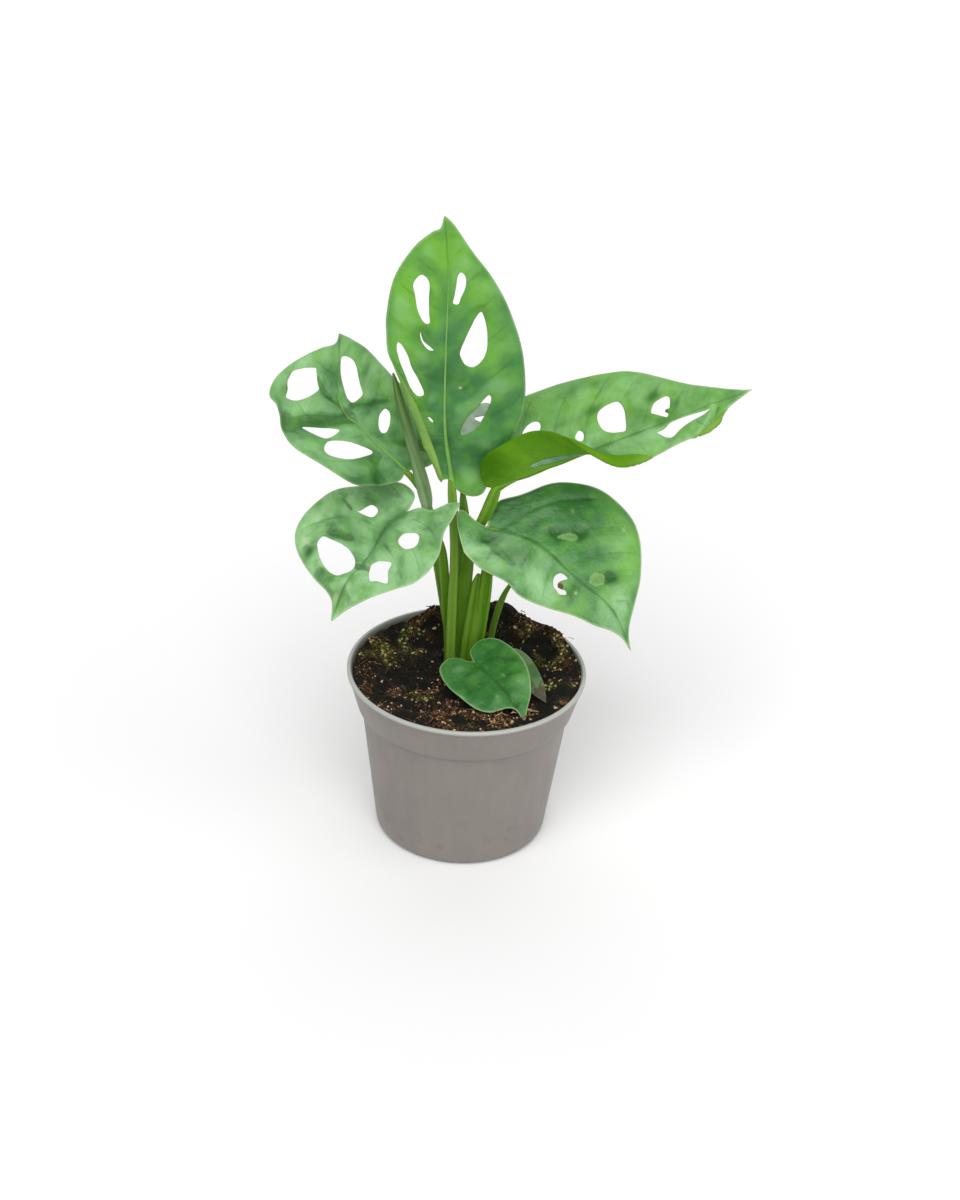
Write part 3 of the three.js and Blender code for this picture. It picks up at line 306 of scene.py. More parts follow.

# How each blade's surface differs from a smooth one, in the same flat millimetres. veins is the
# number of side veins along the length, quilt how far the blade swells between them, and pallor its
# share of pale painted sheen. rib is how pale the midrib is, or how dark where it is negative, that dark
# being painted shade in its groove, rim how pale the margin is, and below how pale the underside is.
# holes are the open holes: each is drawn as a closed curve, or is an oval with x, y, half length, half
# width, lean in degrees and taper towards its upper end. slits are more ovals, too small for the solid
# part, and films are thin skins left in a hole; the pale blue-green film in leaf_right's slit is painted
# light, the lit face of the curled blade seen through it. hems are strips of margin folded up over the
# blade: the side, the strip's width keyed by y, and the fold in degrees. windows are closed pale panes.
# creases are lines pressed into the upper face, each with its depth and half width, or raised where
# the depth is negative. dents are x, y, radius and depth. light, dark, pale and brown are soft
# patches of yellower green that is partly painted light, of deeper green that is partly painted shade
# in creases, dents and folds, of near white and of dead tissue, and painted_sheen is where the pallor,
# the share of painted sheen, is stronger: x, y, half width, half length and strength.
BLADE_LOOKS = {
    "leaf_top": {
        "veins": 8, "quilt": 0.18, "pallor": 0.12, "rib": 1, "rim": 0.25, "below": 0.4,
        "holes": [
            [[-6.8, 59.9], [-5, 57.7], [-5, 52.9], [-4.8, 48.9], [-4.6, 46.4], [-6.4, 46.7], [-8.2, 50.1],
                [-9, 54.1], [-9.6, 57.3], [-8.4, 59.3]],
            [[3.4, 60.1], [4.8, 58.7], [4.8, 55.7], [3.6, 52.7], [3, 51.1], [1.3, 51.5], [1.6, 53.5],
                [2, 56.3], [2.4, 58.9]],
            [[9.4, 48.7], [10.6, 46.3], [11.4, 42.3], [11.4, 37.9], [10.2, 34.9], [7.8, 33.1], [5.4, 33.9],
                [4, 36.3], [3.8, 37.9], [4.8, 40.7], [6.4, 44.5], [8, 47.5]],
            [[-7.1, 44.3], [-6.1, 41.7], [-4.2, 39.9], [-3.2, 38.7], [-4.8, 38.9], [-6.5, 40.9],
                [-7.3, 43.1]],
            [[-13.2, 41.9], [-11.8, 40.7], [-10.2, 37.7], [-9.2, 34.5], [-7.4, 31.1], [-5.8, 27.5],
                [-5.8, 26], [-7.6, 25.9], [-9.6, 28.5], [-11, 32], [-12.6, 36], [-13.6, 40]],
            [[12.2, 25.1], [13, 23.9], [12.4, 21.5], [11, 18.7], [9.2, 15.9], [6.8, 14.1], [4.6, 13.3],
                [4, 14.3], [4.8, 16.7], [6.2, 19.1], [8.4, 21.1], [10.6, 23.7]]],
        "slits": [[-3.9, 18.7, 1.2, 0.45, -38, 0]],
        "films": [[[[8.2, 21.4], [10.4, 22.6], [12.9, 22.1], [12.2, 20], [11.4, 19], [8.2, 18.4],
            [9.2, 17.4], [10.2, 16.6], [7.2, 13.8], [4.4, 12.8], [3.6, 14.3], [4.5, 16.9], [6, 19.3]],
            "grey"]],
        "light": [[-11, 52, 5, 15, 1], [1, 66, 8, 11, 0.8], [-8, 14, 3, 14, 1], [9, 52, 5, 7, 0.6],
            [-4, -1, 9, 3.5, 1], [-4, 55, 3, 10, 0.7], [12, 40, 3, 8, 0.5], [3, 0, 8, 4, 0.7]],
        "dark": [[3, 34, 5, 14, 0.4], [14, 18, 6, 9, 0.3], [1, 10, 3.5, 10, 1], [6, 7, 6, 5, 0.9],
            [7, 28, 5, 4, 0.5], [-3, 30, 4, 9, 0.5], [-6.5, 44, 3, 4, 0.4]],
        "pale": [[4.2, 27.4, 0.28, 0.34, 1], [5, 28.2, 0.2, 0.2, 0.8]],
    },
    "leaf_upper_left": {
        "veins": 7, "quilt": 0.4, "pallor": 0.6, "rib": 1, "rim": 0.2, "below": 0.5,
        "holes": [
            [[-18.5, 38.3], [-16.5, 39.3], [-9.1, 37.3], [-8.3, 35.7], [-7.3, 32.1], [-7.5, 30.7],
                [-11.3, 30.1], [-16.3, 30.7], [-19.7, 32.9], [-19.1, 34.9], [-19.3, 37]],
            [[1.3, 36.7], [4.3, 35.5], [6.5, 32.9], [8.1, 27.9], [8.3, 24.3], [6.3, 23.1], [3.3, 23.3],
                [2.1, 27.9], [0.8, 31.7], [0.6, 35.1]],
            [[10.7, 17.3], [10.5, 15.5], [8.3, 13.3], [5.1, 11.3], [3.5, 11.9], [4.3, 13.9], [6.9, 16.3],
                [9.3, 17.3]],
            [[-14.8, 23.6], [-9.9, 20.9], [-6, 17.8], [-10.9, 17.1], [-13.1, 19.1]],
            [[-15.1, 15.1], [-11.5, 16.5], [-6.3, 13.5], [-2.8, 8.4], [-6.9, 8.3], [-11.9, 9.7],
                [-15.3, 12.9]]],
        "creases": [[[[1, 20], [-1.5, 25], [-5.5, 30], [-8, 34]], 0.7, 0.7], [[[-20, 27], [-12, 24.2],
            [-5.7, 21.4], [-0.9, 20]], 1, 2.2], [[[-20, 31], [-14, 28.4], [-6, 26], [-2, 22.5]], -0.8, 1.5],
            [[[4, 8], [8, 4], [10, -1]], 0.6, 1.3], [[[-3, 7], [-8, 3], [-12, -2]], 0.6, 1.5], [[[-23, 31],
            [-18, 28.5]], 0.6, 1.2], [[[3, 22], [8, 20.5], [13, 19]], 0.6, 1.2]],
        "light": [[-12, 40, 8, 2.5, 1], [14, 26, 5, 10, 0.5], [4, 38, 5, 4, 0.5], [-14, 30, 5, 3, 0.4]],
        "dark": [[-10, 22.6, 8, 3, 0.7], [-3, 25, 3, 5, 0.8], [2, 12, 2, 10, 0.5], [11, 26, 2.5, 6, 0.5],
            [7, 20, 5, 2.5, 0.8], [-21, 29, 2.5, 4, 0.7], [-4, 32, 3, 5, 0.6], [-12, 3, 9, 4.5, 0.9],
            [5, 8, 5, 4, 0.4], [13, 12, 3, 6, 0.5]],
        "painted_sheen": [[-16, 40, 8, 3, 1], [2, 12, 6, 6, 0.6], [-10, 29, 7, 2.5, 0.8], [14, 20, 4, 5, 0.5]],
    },
    "leaf_lower_left": {
        "veins": 7, "quilt": 0.26, "pallor": 1, "rib": -0.35, "rim": 0.45, "below": 0.5,
        "holes": [
            [[13.2, 10], [11.3, 10.1], [9.7, 8.9], [9.1, 6.7], [8.5, 5.1], [6.3, 4.9], [5.1, 6.1],
                [5.3, 8.1], [7.5, 9.1], [10.6, 9.9]],
            [[15.1, 24.5], [15.5, 22.9], [15.1, 21.5], [12.3, 20.7], [8.7, 19.9], [5.7, 19.9], [2.3, 21.1],
                [1, 23.7], [2.1, 25.9], [3.9, 27.7], [7.1, 28.3], [10.5, 27.5], [13.3, 25.9]],
            [[-6.1, 8.9], [-5.7, 7.1], [-6.3, 5.5], [-9.5, 3.5], [-12.1, 5.7], [-12.3, 7.9], [-10.1, 9.7],
                [-7.5, 9.7]],
            [[-2.7, 18.3], [-4.1, 16.7], [-7.7, 15.1], [-8.3, 17.7], [-10.5, 20.5], [-7.3, 22],
                [-5.7, 23.1], [-3.7, 21.7], [-2.4, 19.9]]],
        "creases": [[[[16, 9.6], [12.5, 10.2]], 0.5, 0.8], [[[-9.7, 4], [-9.5, 1.5]], 0.4, 0.5],
            [[[20.7, 26.9], [17.9, 25.3], [16, 24.5]], -0.2, 0.6], [[[14.5, 19.2], [12, 18.4],
            [8, 17]], 0.4, 1.6], [[[1, 22.3], [-2.6, 20.5]], 0.5, 0.8]],
        "dents": [[15.6, 27.6, 2, 0.7], [9.7, 30, 2, 0.5]],
        "light": [[21.5, 23.5, 2.5, 3, 0.7], [0, 31, 4, 4, 0.7], [-16, 10, 4, 8, 0.4], [-8, 26, 6, 5, 0.4]],
        "painted_sheen": [[16, 14, 5, 6, 0.9], [20, 20, 3, 6, 0.6], [-12, 14, 5, 5, 0.6], [4, 30, 6, 3, 0.8]],
        "dark": [[0, 8, 2.5, 10, 0.7], [-14, 0, 5, 6, 0.4], [12, 18, 5, 1.8, 0.8], [15.4, 27, 1.6, 3, 0.8],
            [9, 16, 6, 4, 0.5], [9, 4, 6, 3, 0.4], [10, 0, 8, 3, 0.5], [2, 20, 3, 3, 0.5]],
        "pale": [[18.6, 25.7, 2.4, 0.5, 0.8], [-9.6, 2.6, 0.3, 1.1, 1], [1.4, 33, 0.8, 2, 0.5]],
    },
    "leaf_right": {
        "veins": 9, "quilt": 0.18, "pallor": 0.42, "rib": 0.2, "rim": 0.3, "below": 0,
        "holes": [
            [[-9.2, 32.8], [-12, 33.8], [-13.2, 36.2], [-13.4, 39.2], [-12.4, 40.4], [-9.8, 41],
                [-6.2, 40.6], [-2.4, 39.6], [-2.6, 37.4], [-3.6, 35.2], [-5.6, 33.4]],
            [[-5.2, 47.6], [-8, 49.2], [-8.8, 51.4], [-9, 53.2], [-7.8, 54], [-5.4, 53.4], [-4.3, 52.8],
                [-4.6, 51.9], [-3.6, 51.6], [-3, 52.3], [-2, 52], [-1.6, 51.4], [-2.4, 50.4], [-4, 48.6]],
            [[2.2, 47.4], [1.8, 49.8], [0.6, 51.9], [0.5, 55], [0.6, 57.8], [0.9, 60.6], [1.4, 63.8],
                [2.2, 61.8], [2.8, 57.8], [3.6, 54.4], [5.2, 51.2], [4.4, 49.2], [3, 48]],
            [[-6.4, 25.4], [-8.2, 27], [-6.8, 28.2], [-4.8, 27.8], [-4, 27], [-5, 25.8]],
            [-13.5, 14.3, 3.6, 2.3, -40, 0],
            [[2.9, 12], [2.6, 16], [2.5, 22], [2.8, 27.6], [3.4, 27], [3.7, 22], [3.8, 16], [3.5, 12.4]]],
        "films": [[[[2.4, 11.8], [2.1, 16], [2, 22], [2.4, 27.9], [3.7, 28], [4.2, 22], [4.2, 16],
            [3.6, 11.6]], "painted_lit_face"]],
        "hems": [["right", [[24, 0], [28, 2.2], [33, 3.8], [39, 3.6], [43, 1.6], [44.5, 0]], 150],
            ["right", [[56, 0], [59, 1.6], [63, 2.4], [66, 1.4], [68, 0]], 150]],
        "creases": [[[[-0.4, 64.5], [3.4, 62.4], [7, 57.8]], -0.7, 0.9], [[[1.6, 65.5],
            [5.4, 63]], 0.6, 0.8]],
        # The first, broad light patch is painted light over the blade.
        "light": [[-10, 36, 20, 40, 0.7], [8, 62, 4, 8, 1], [-16, 36, 6, 16, 1], [-23, 40, 4, 10, 0.9],
            [-5, 31, 6, 3, 0.9], [-12, 47, 5, 7, 0.7], [3, 65, 4, 5, 0.9], [9, 46, 5, 14, 0.9],
            [-16, 20, 4, 8, 0.6]],
        "painted_sheen": [[-9, 20, 5, 8, 0.5], [-2, 32, 5, 8, 0.8], [3, 45, 5, 6, 0.7], [-18, 44, 4, 8, 0.4]],
        "dark": [[-13, 33, 2, 4, 0.8], [-12, 24, 2, 6, 0.5], [10, 0, 7, 7, 1], [-10, 49.5, 2.4, 2.4, 0.9],
            [-4, 44, 4, 6, 0.4], [-22, 33, 1.5, 8, 0.5], [-10, 22, 5, 6, 0.3], [-1, 50, 2.5, 4, 0.5]],
        "pale": [[0, 75.8, 0.9, 1.6, 1]],
        "brown": [[-3.6, 52.2, 0.7, 0.7, 0.9], [6.6, 64.6, 1.2, 0.7, 0.45], [10.5, 44.4, 1.2, 0.5, 0.4]],
    },
    "leaf_lower_right": {
        "veins": 7, "quilt": 0.13, "pallor": 0.2, "rib": -0.35, "rim": 0.5, "below": 0.5,
        "holes": [
            [[5.5, 24.2], [3.9, 23.4], [1.9, 24.2], [1.5, 26.2], [2, 27], [3.1, 26.2], [4.6, 25.6],
                [5.4, 26.4], [5, 27.6], [4.7, 28.6], [5.6, 29.5], [6.9, 27.8], [6.5, 26.4], [6.3, 25.2]]],
        "creases": [[[[-1.5, 3.4], [-8.9, 5.6], [-15.1, 9.8], [-20.5, 15.8]], 0.35, 0.9], [[[4.4, 2],
            [7.5, 8], [9, 12]], 0.4, 1]],
        "dents": [[3.8, 2.2, 2.2, 0.7], [5.2, 10, 3.6, 0.3], [-6, 15.2, 2, 0.6], [-10.6, 20.4, 2.2, 0.6],
            [-6.5, 35, 2.2, 0.6], [-8, 18.8, 3.4, 0.3], [2.2, 20, 2, -0.25], [9.5, 17, 2.5, -0.25]],
        "windows": [[[-5.6, 16.7], [-6.9, 17.4], [-9, 19.3], [-9.1, 20.6], [-8.2, 20.9], [-6.8, 19]],
            [[-2.7, 31.4], [-4.3, 31.6], [-5.7, 33.2], [-4.8, 34.4], [-3.5, 34.8], [-2, 33.6],
            [-1.7, 32.2]]],
        "light": [[-21, 30, 3.5, 8, 0.6], [-12, 38, 5, 5, 0.6], [9, 32, 4, 7, 0.5], [-16, 34, 3, 5, 0.6]],
        "painted_sheen": [[9, 4, 4, 8, 1], [9, 22, 5, 9, 0.9], [-3, 42, 7, 5, 0.9], [-14, 31, 6, 5, 0.4]],
        "dark": [[-9, 2, 7, 7, 1], [-15, 13, 7, 9, 0.85], [-5.6, 15.2, 2.6, 2.6, 0.9], [-11, 21, 3, 3, 0.9],
            [-6.6, 35, 2.4, 2.4, 1], [3.8, 2.6, 2.2, 3, 1], [5.2, 10, 3.4, 4.2, 0.4], [-10, 26, 5, 5, 0.6]],
        "pale": [[-14.1, 14.4, 0.3, 0.3, 1], [-20.7, 28.8, 0.4, 0.4, 1], [9.1, 15, 0.3, 0.3, 1],
            [3.5, 31, 0.35, 0.35, 1]],
        "brown": [[4.9, 26.6, 0.9, 1.1, 0.9]],
    },
    "leaf_small_front": {
        "veins": 6, "quilt": 0.1, "pallor": 0.05, "rib": -0.25, "rim": 0.35, "below": 0.5,
        "light": [[-7, 14, 4, 5, 0.3]],
        "painted_sheen": [[4, 3, 2.5, 5, 0.35], [-6, 16, 2.5, 4, 0.3]],
        "dark": [[3, 8, 8, 11, 0.8], [-5, 4, 6, 8, 0.8]],
        "creases": [[[[0, 13], [0, 16], [0, 20]], 0.3, 1.3], [[[-1.5, 2], [-6, 3], [-9, 8]], 0.3, 1],
            [[[1.5, 2], [6, 4], [9, 10]], 0.3, 1]],
        "brown": [[0, 25, 1.6, 1.2, 0.8], [-9, 13, 0.8, 2, 0.5], [6, 19, 2, 0.7, 0.6]],
        "pale": [[-3, 10, 0.3, 0.3, 1], [3, 15, 0.25, 0.25, 1], [5, 9, 0.25, 0.25, 0.9],
            [-5, 14, 0.2, 0.2, 0.8]],
    },
    "leaf_small_side": {
        "veins": 6, "quilt": 0.1, "pallor": 0.15, "rib": 0, "rim": 0.1, "below": 0.5,
        "brown": [[0, 19, 5, 5, 0.9], [5, 13, 2, 4, 0.6]],
    },
}


def linear(colour):
    """An sRGB hex colour as linear red, green, blue and 1."""
    values = [int(colour[i:i + 2], 16) / 255 for i in (0, 2, 4)]
    return [v / 12.92 if v <= 0.04045 else ((v + 0.055) / 1.055) ** 2.4 for v in values] + [1.0]


def darker(colour, share):
    return [c * share for c in colour[:3]] + [1]


def ease(low, high, value):
    """0 below low, 1 above high, smooth between."""
    t = np.clip((value - low) / (high - low), 0, 1)
    return t * t * (3 - 2 * t)


def unit(vectors):
    return vectors / np.linalg.norm(vectors, axis=1)[:, None]


def around(count, start=0.0):
    """Evenly spaced angles round a circle."""
    return 2 * np.pi * (np.arange(count) + start) / count


def keyed(keys, at):
    """A smooth curve through [position, value] keys, level beyond the first and the last."""
    place, value = np.array(keys, float).T
    slope = np.diff(value) / np.diff(place)
    tangent = np.concatenate([slope[:1], (slope[:-1] + slope[1:]) / 2, slope[-1:]])
    at = np.clip(at, place[0], place[-1])
    i = np.clip(np.searchsorted(place, at, side="right") - 1, 0, len(slope) - 1)
    span = place[i + 1] - place[i]
    s = (at - place[i]) / span
    return ((1 + 2 * s) * (1 - s) ** 2 * value[i] + s * s * (3 - 2 * s) * value[i + 1]
            + span * (s * (1 - s) ** 2 * tangent[i] - s * s * (1 - s) * tangent[i + 1]))


def curve_through(points, step, closed=False, spaced=False):
    """Evenly spaced points on a smooth curve through the given ones.

    Where spaced is set, the knots lie by the square root of their distance, as a stem bends.
    """
    p = np.array(points, float)
    first, last = (2 * p[:1] - p[1:2], 2 * p[-1:] - p[-2:-1]) if spaced else (p[:1], p[-1:])
    p = np.concatenate([p[-1:], p, p[:2]] if closed else [first, p, last])
    t = np.linspace(0, 1, 24, endpoint=False)[:, None]
    dense = []
    for a, b, c, d in zip(p[:-3], p[1:-2], p[2:-1], p[3:]):
        v, w = (c - a) / 2, (d - b) / 2
        if spaced:
            da, db, dc = (max(np.linalg.norm(v) ** 0.5, 1e-4) for v in (b - a, c - b, d - c))
            v = ((b - a) / da - (c - a) / (da + db) + (c - b) / db) * db
            w = ((c - b) / db - (d - b) / (db + dc) + (d - c) / dc) * db
        dense.append((2 * b - 2 * c + v + w) * t**3 + (3 * c - 3 * b - 2 * v - w) * t**2 + v * t + b)
    dense = np.concatenate(dense + [p[-2:-1]])
    run = np.concatenate([[0], np.cumsum(np.linalg.norm(np.diff(dense, axis=0), axis=1))])
    even = np.linspace(0, run[-1], max(3, round(run[-1] / step) + 1))
    made = np.stack([np.interp(even, run, dense[:, k]) for k in range(p.shape[1])], axis=1)
    return made[:-1] if closed else made


def line_distance(points, line):
    """Distance from each point to a line of straight segments."""
    best = np.full(len(points), np.inf)
    for a, b in zip(line[:-1], line[1:]):
        along = b - a
        t = np.clip(((points - a) @ along) / max(along @ along, 1e-12), 0, 1)
        best = np.minimum(best, np.linalg.norm(points - a - t[:, None] * along, axis=1))
    return best


def loop_distance(points, loop):
    return line_distance(points, np.concatenate([loop, loop[:1]]))


def inside_loop(points, loop):
    inside = np.zeros(len(points), bool)
    x, y = points.T
    for a, b in zip(loop, np.roll(loop, -1, axis=0)):
        if a[1] == b[1]:
            continue
        crosses = (a[1] > y) != (b[1] > y)
        inside ^= crosses & (x < (b[0] - a[0]) * (y - a[1]) / (b[1] - a[1]) + a[0])
    return inside


def triangulated(loops, grid, gap):
    """Points and upward triangles inside the first loop and outside the others.

    The grid's points are used where they are at least gap from every loop.
    """
    grid = grid[inside_loop(grid, loops[0])]
    for loop in loops:
        grid = grid[loop_distance(grid, loop) > gap]
    for loop in loops[1:]:
        grid = grid[~inside_loop(grid, loop)]
    edges, first = [], 0
    for loop in loops:
        edges += [(first + i, first + (i + 1) % len(loop)) for i in range(len(loop))]
        first += len(loop)
    points = [Vector(p) for p in np.concatenate(loops + [grid])]
    placed, _, faces, *_ = delaunay_2d_cdt(points, edges, [], 0, 1e-7, False)
    flat, faces = np.array([p[:] for p in placed]), np.array(faces)
    middle = flat[faces].mean(1)
    keep = inside_loop(middle, loops[0])
    for loop in loops[1:]:
        keep &= ~inside_loop(middle, loop)
    faces = faces[keep]
    a, b, c = (flat[faces[:, k]] for k in range(3))
    turned = np.cross(b - a, c - a) < 0
    faces[turned] = faces[turned][:, ::-1]
    return flat, faces


def ring_faces(rings, sides):
    """The quads between rings of points that follow each other."""
    return [(k * sides + i, k * sides + (i + 1) % sides, (k + 1) * sides + (i + 1) % sides,
             (k + 1) * sides + i) for k in range(rings - 1) for i in range(sides)]


def ring(radius, angle, z):
    """A level ring of points round the pot's axis."""
    return np.stack([radius * np.cos(angle), radius * np.sin(angle), np.zeros(len(angle)) + z], axis=1)


def blade_axes(blade):
    """The blade's directions: across to its right, along to its tip, and up out of its face."""
    azimuth, rise, roll = (math.radians(blade[k]) for k in ("azimuth", "rise", "roll"))
    along = Vector((math.cos(rise) * math.cos(azimuth), math.cos(rise) * math.sin(azimuth), math.sin(rise)))
    level = Vector((math.sin(azimuth), -math.cos(azimuth), 0))
    across = Matrix.Rotation(roll, 3, along) @ level
    return np.array(across), np.array(along), np.array(across.cross(along))


def bent(blade, x, y):
    """Points of the bent blade's middle surface, in millimetres."""
    across, along, up = blade_axes(blade)
    at = y / blade["length"]
    out, lift = np.zeros_like(x), np.zeros_like(x)
    level = [[0, 0], [1, 0]]
    for side, half in ((-1, blade["left"]), (1, blade["right"])):
        reach = np.abs(x)
        tilt = np.radians(keyed(half["tilt"], at))
        curl = np.radians(keyed(half.get("curl", level), at))
        curl = np.where(np.abs(curl) < 1e-5, 1e-5, curl)
        flat = np.minimum(reach, keyed(half.get("flat", level), at))
        turned = tilt + curl * (reach - flat)
        here = x > 0 if side > 0 else x <= 0
        out = np.where(here, flat * np.cos(tilt) + (np.sin(turned) - np.sin(tilt)) / curl, out)
        lift = np.where(here, flat * np.sin(tilt) + (np.cos(tilt) - np.cos(turned)) / curl, lift)
    # The fold along the midrib is rounded.
    soft = (np.sqrt(x**2 + FOLD_RADIUS**2) - FOLD_RADIUS) / np.maximum(np.abs(x), 1e-6)
    sway = keyed(blade.get("sway", level), at) + np.sign(x) * out
    rise = keyed(blade.get("arch", level), at) + lift * soft
    return np.array(blade["base"]) + np.outer(sway, across) + np.outer(y, along) + np.outer(rise, up)

def blade_edge(blade, side, step):
    """One side of the flat outline from base to tip, with x counted away from the midrib."""
    return curve_through([[0, 0]] + blade[side]["edge"] + [[0, blade["length"]]], step)


def blade_outline(blade, hems, step):
    """The flat outline, counter-clockwise from the base, with what its hems add."""
    sides = {side: blade_edge(blade, side, step) for side in ("right", "left")}
    for side, widths, _ in hems:
        edge = sides[side]
        edge[:, 0] += np.where(edge[:, 1] > 0.2 * blade["length"], keyed(widths, edge[:, 1]), 0)
    return np.concatenate([sides["right"][:-1], (sides["left"] * [-1, 1])[:0:-1]])


def folded(blade, hems, x, y):
    """Where each flat point goes when the hems are folded: its x, and its height above the blade."""
    new_x, lift = x.copy(), np.zeros_like(x)
    for side, widths, degrees in hems:
        sign = 1 if side == "right" else -1
        edge = blade_edge(blade, side, 0.5)
        edge = edge[np.argmin(edge[:, 1]):]
        crease = np.interp(y, edge[:, 1], edge[:, 0])
        beyond = np.where(keyed(widths, y) > 0, np.maximum(0, sign * x - crease), 0)
        most = math.radians(degrees)
        angle = np.minimum(beyond / HEM_RADIUS, most)
        rest = np.maximum(0, beyond - HEM_RADIUS * most)
        new_x += sign * (HEM_RADIUS * np.sin(angle) + rest * math.cos(most) - beyond)
        lift += HEM_RADIUS * (1 - np.cos(angle)) + rest * math.sin(most)
    return new_x, lift


def egg(hole, step):
    """An egg-shaped hole, leaning from the midrib and narrower towards its upper end."""
    x, y, half_length, half_width, lean, taper = hole
    angle = around(max(12, round(math.pi * (half_length + half_width) / step)), 0.5)
    along = half_length * np.cos(angle)
    across = half_width * np.sin(angle) * (1 - taper * np.cos(angle))
    turn = math.radians(lean)
    return np.stack([x + across * math.cos(turn) + along * math.sin(turn),
                     y - across * math.sin(turn) + along * math.cos(turn)], axis=1)


def vein_field(blade, look, x, y):
    """Where each point lies between the side veins: which, how far, and the swelling."""
    spacing = blade["length"] / look["veins"]
    climb = -0.2 + 0.95 * y / blade["length"]
    place = (y - climb * np.abs(x) - 0.012 * x**2) / spacing + np.where(x > 0, 0.25, -0.2)
    nearest = np.abs(place - np.round(place)) * spacing * 0.8
    return place, nearest, (1 - np.cos(2 * np.pi * place)) / 2


def patches(spots, x, y):
    """The strongest of several soft oval patches at each point."""
    total = np.zeros_like(x)
    for cx, cy, wide, long, strength in spots:
        total = np.maximum(total, strength * np.exp(-((x - cx) / wide) ** 2 - ((y - cy) / long) ** 2))
    return total


def waves(points, size, seed):
    """Smooth noise from -1 to 1 over flat points, size millimetres across."""
    return np.array([noise.noise((px / size, py / size, seed)) for px, py in points])


def relief(blade, look, x, y, margin, ripple):
    """How far the middle surface stands above the smooth blade, in millimetres."""
    _, nearest, swelling = vein_field(blade, look, x, y)
    fade = ease(0.5, 4, np.abs(x)) * ease(0, 3, margin)
    high = look["quilt"] * swelling * fade - VEIN_DEPTH * np.exp(-((nearest / 0.55) ** 2)) * fade
    high -= RIB_DEPTH * np.exp(-((x / 0.6) ** 2)) * ease(0, 2, margin)
    for cx, cy, radius, depth in look.get("dents", []):
        high -= depth * np.exp(-((x - cx) ** 2 + (y - cy) ** 2) / radius**2)
    flat = np.stack([x, y], axis=1)
    for line, depth, width in look.get("creases", []):
        high -= depth * np.exp(-((line_distance(flat, curve_through(line, 2)) / width) ** 2))
    return high + ripple


def link_object(name, data):
    made = bpy.data.objects.new(name, data)
    bpy.context.scene.collection.objects.link(made)
    return made


def new_object(name, vertices, faces, smooth=True):
    """A mesh object from millimetre vertices, linked to the scene."""
    mesh = bpy.data.meshes.new(name)
    mesh.from_pydata((np.asarray(vertices, float) * MM).tolist(), [], faces)
    mesh.polygons.foreach_set("use_smooth", [smooth] * len(mesh.polygons))
    mesh.update()
    return link_object(name, mesh)


def add_values(mesh, name, values):
    mesh.attributes.new(name, "FLOAT", "POINT").data.foreach_set("value", np.asarray(values, np.float32))


def add_flat_map(mesh, flat):
    """A UV map of the flat millimetres."""
    corners = np.zeros(len(mesh.loops), np.int64)
    mesh.loops.foreach_get("vertex_index", corners)
    layer = mesh.uv_layers.new(name="flat")
    layer.data.foreach_set("uv", (np.asarray(flat)[corners] / UV_SPAN).astype(np.float32).ravel())


def finish_piece(piece, material, slot, *nodes):
    """Gives a piece its finish, ties it to the frame and hides what it stands for."""
    piece.data.materials.clear()
    piece.data.materials.append(material)
    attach(piece, "root")
    if nodes:
        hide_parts(*nodes)


def bent_normal(blade, x, y, place, step):
    """The direction out of the smooth bent blade, from two small steps across it."""
    return unit(np.cross(bent(blade, x + step, y) - place, bent(blade, x, y + step) - place))


def lifted(blade, hems, points):
    """Where flat points lie on the bent blade with its hems folded."""
    x, lift = folded(blade, hems, *points.T)
    place = bent(blade, x, points[:, 1])
    return place + bent_normal(blade, x, points[:, 1], place, 0.2) * lift[:, None]


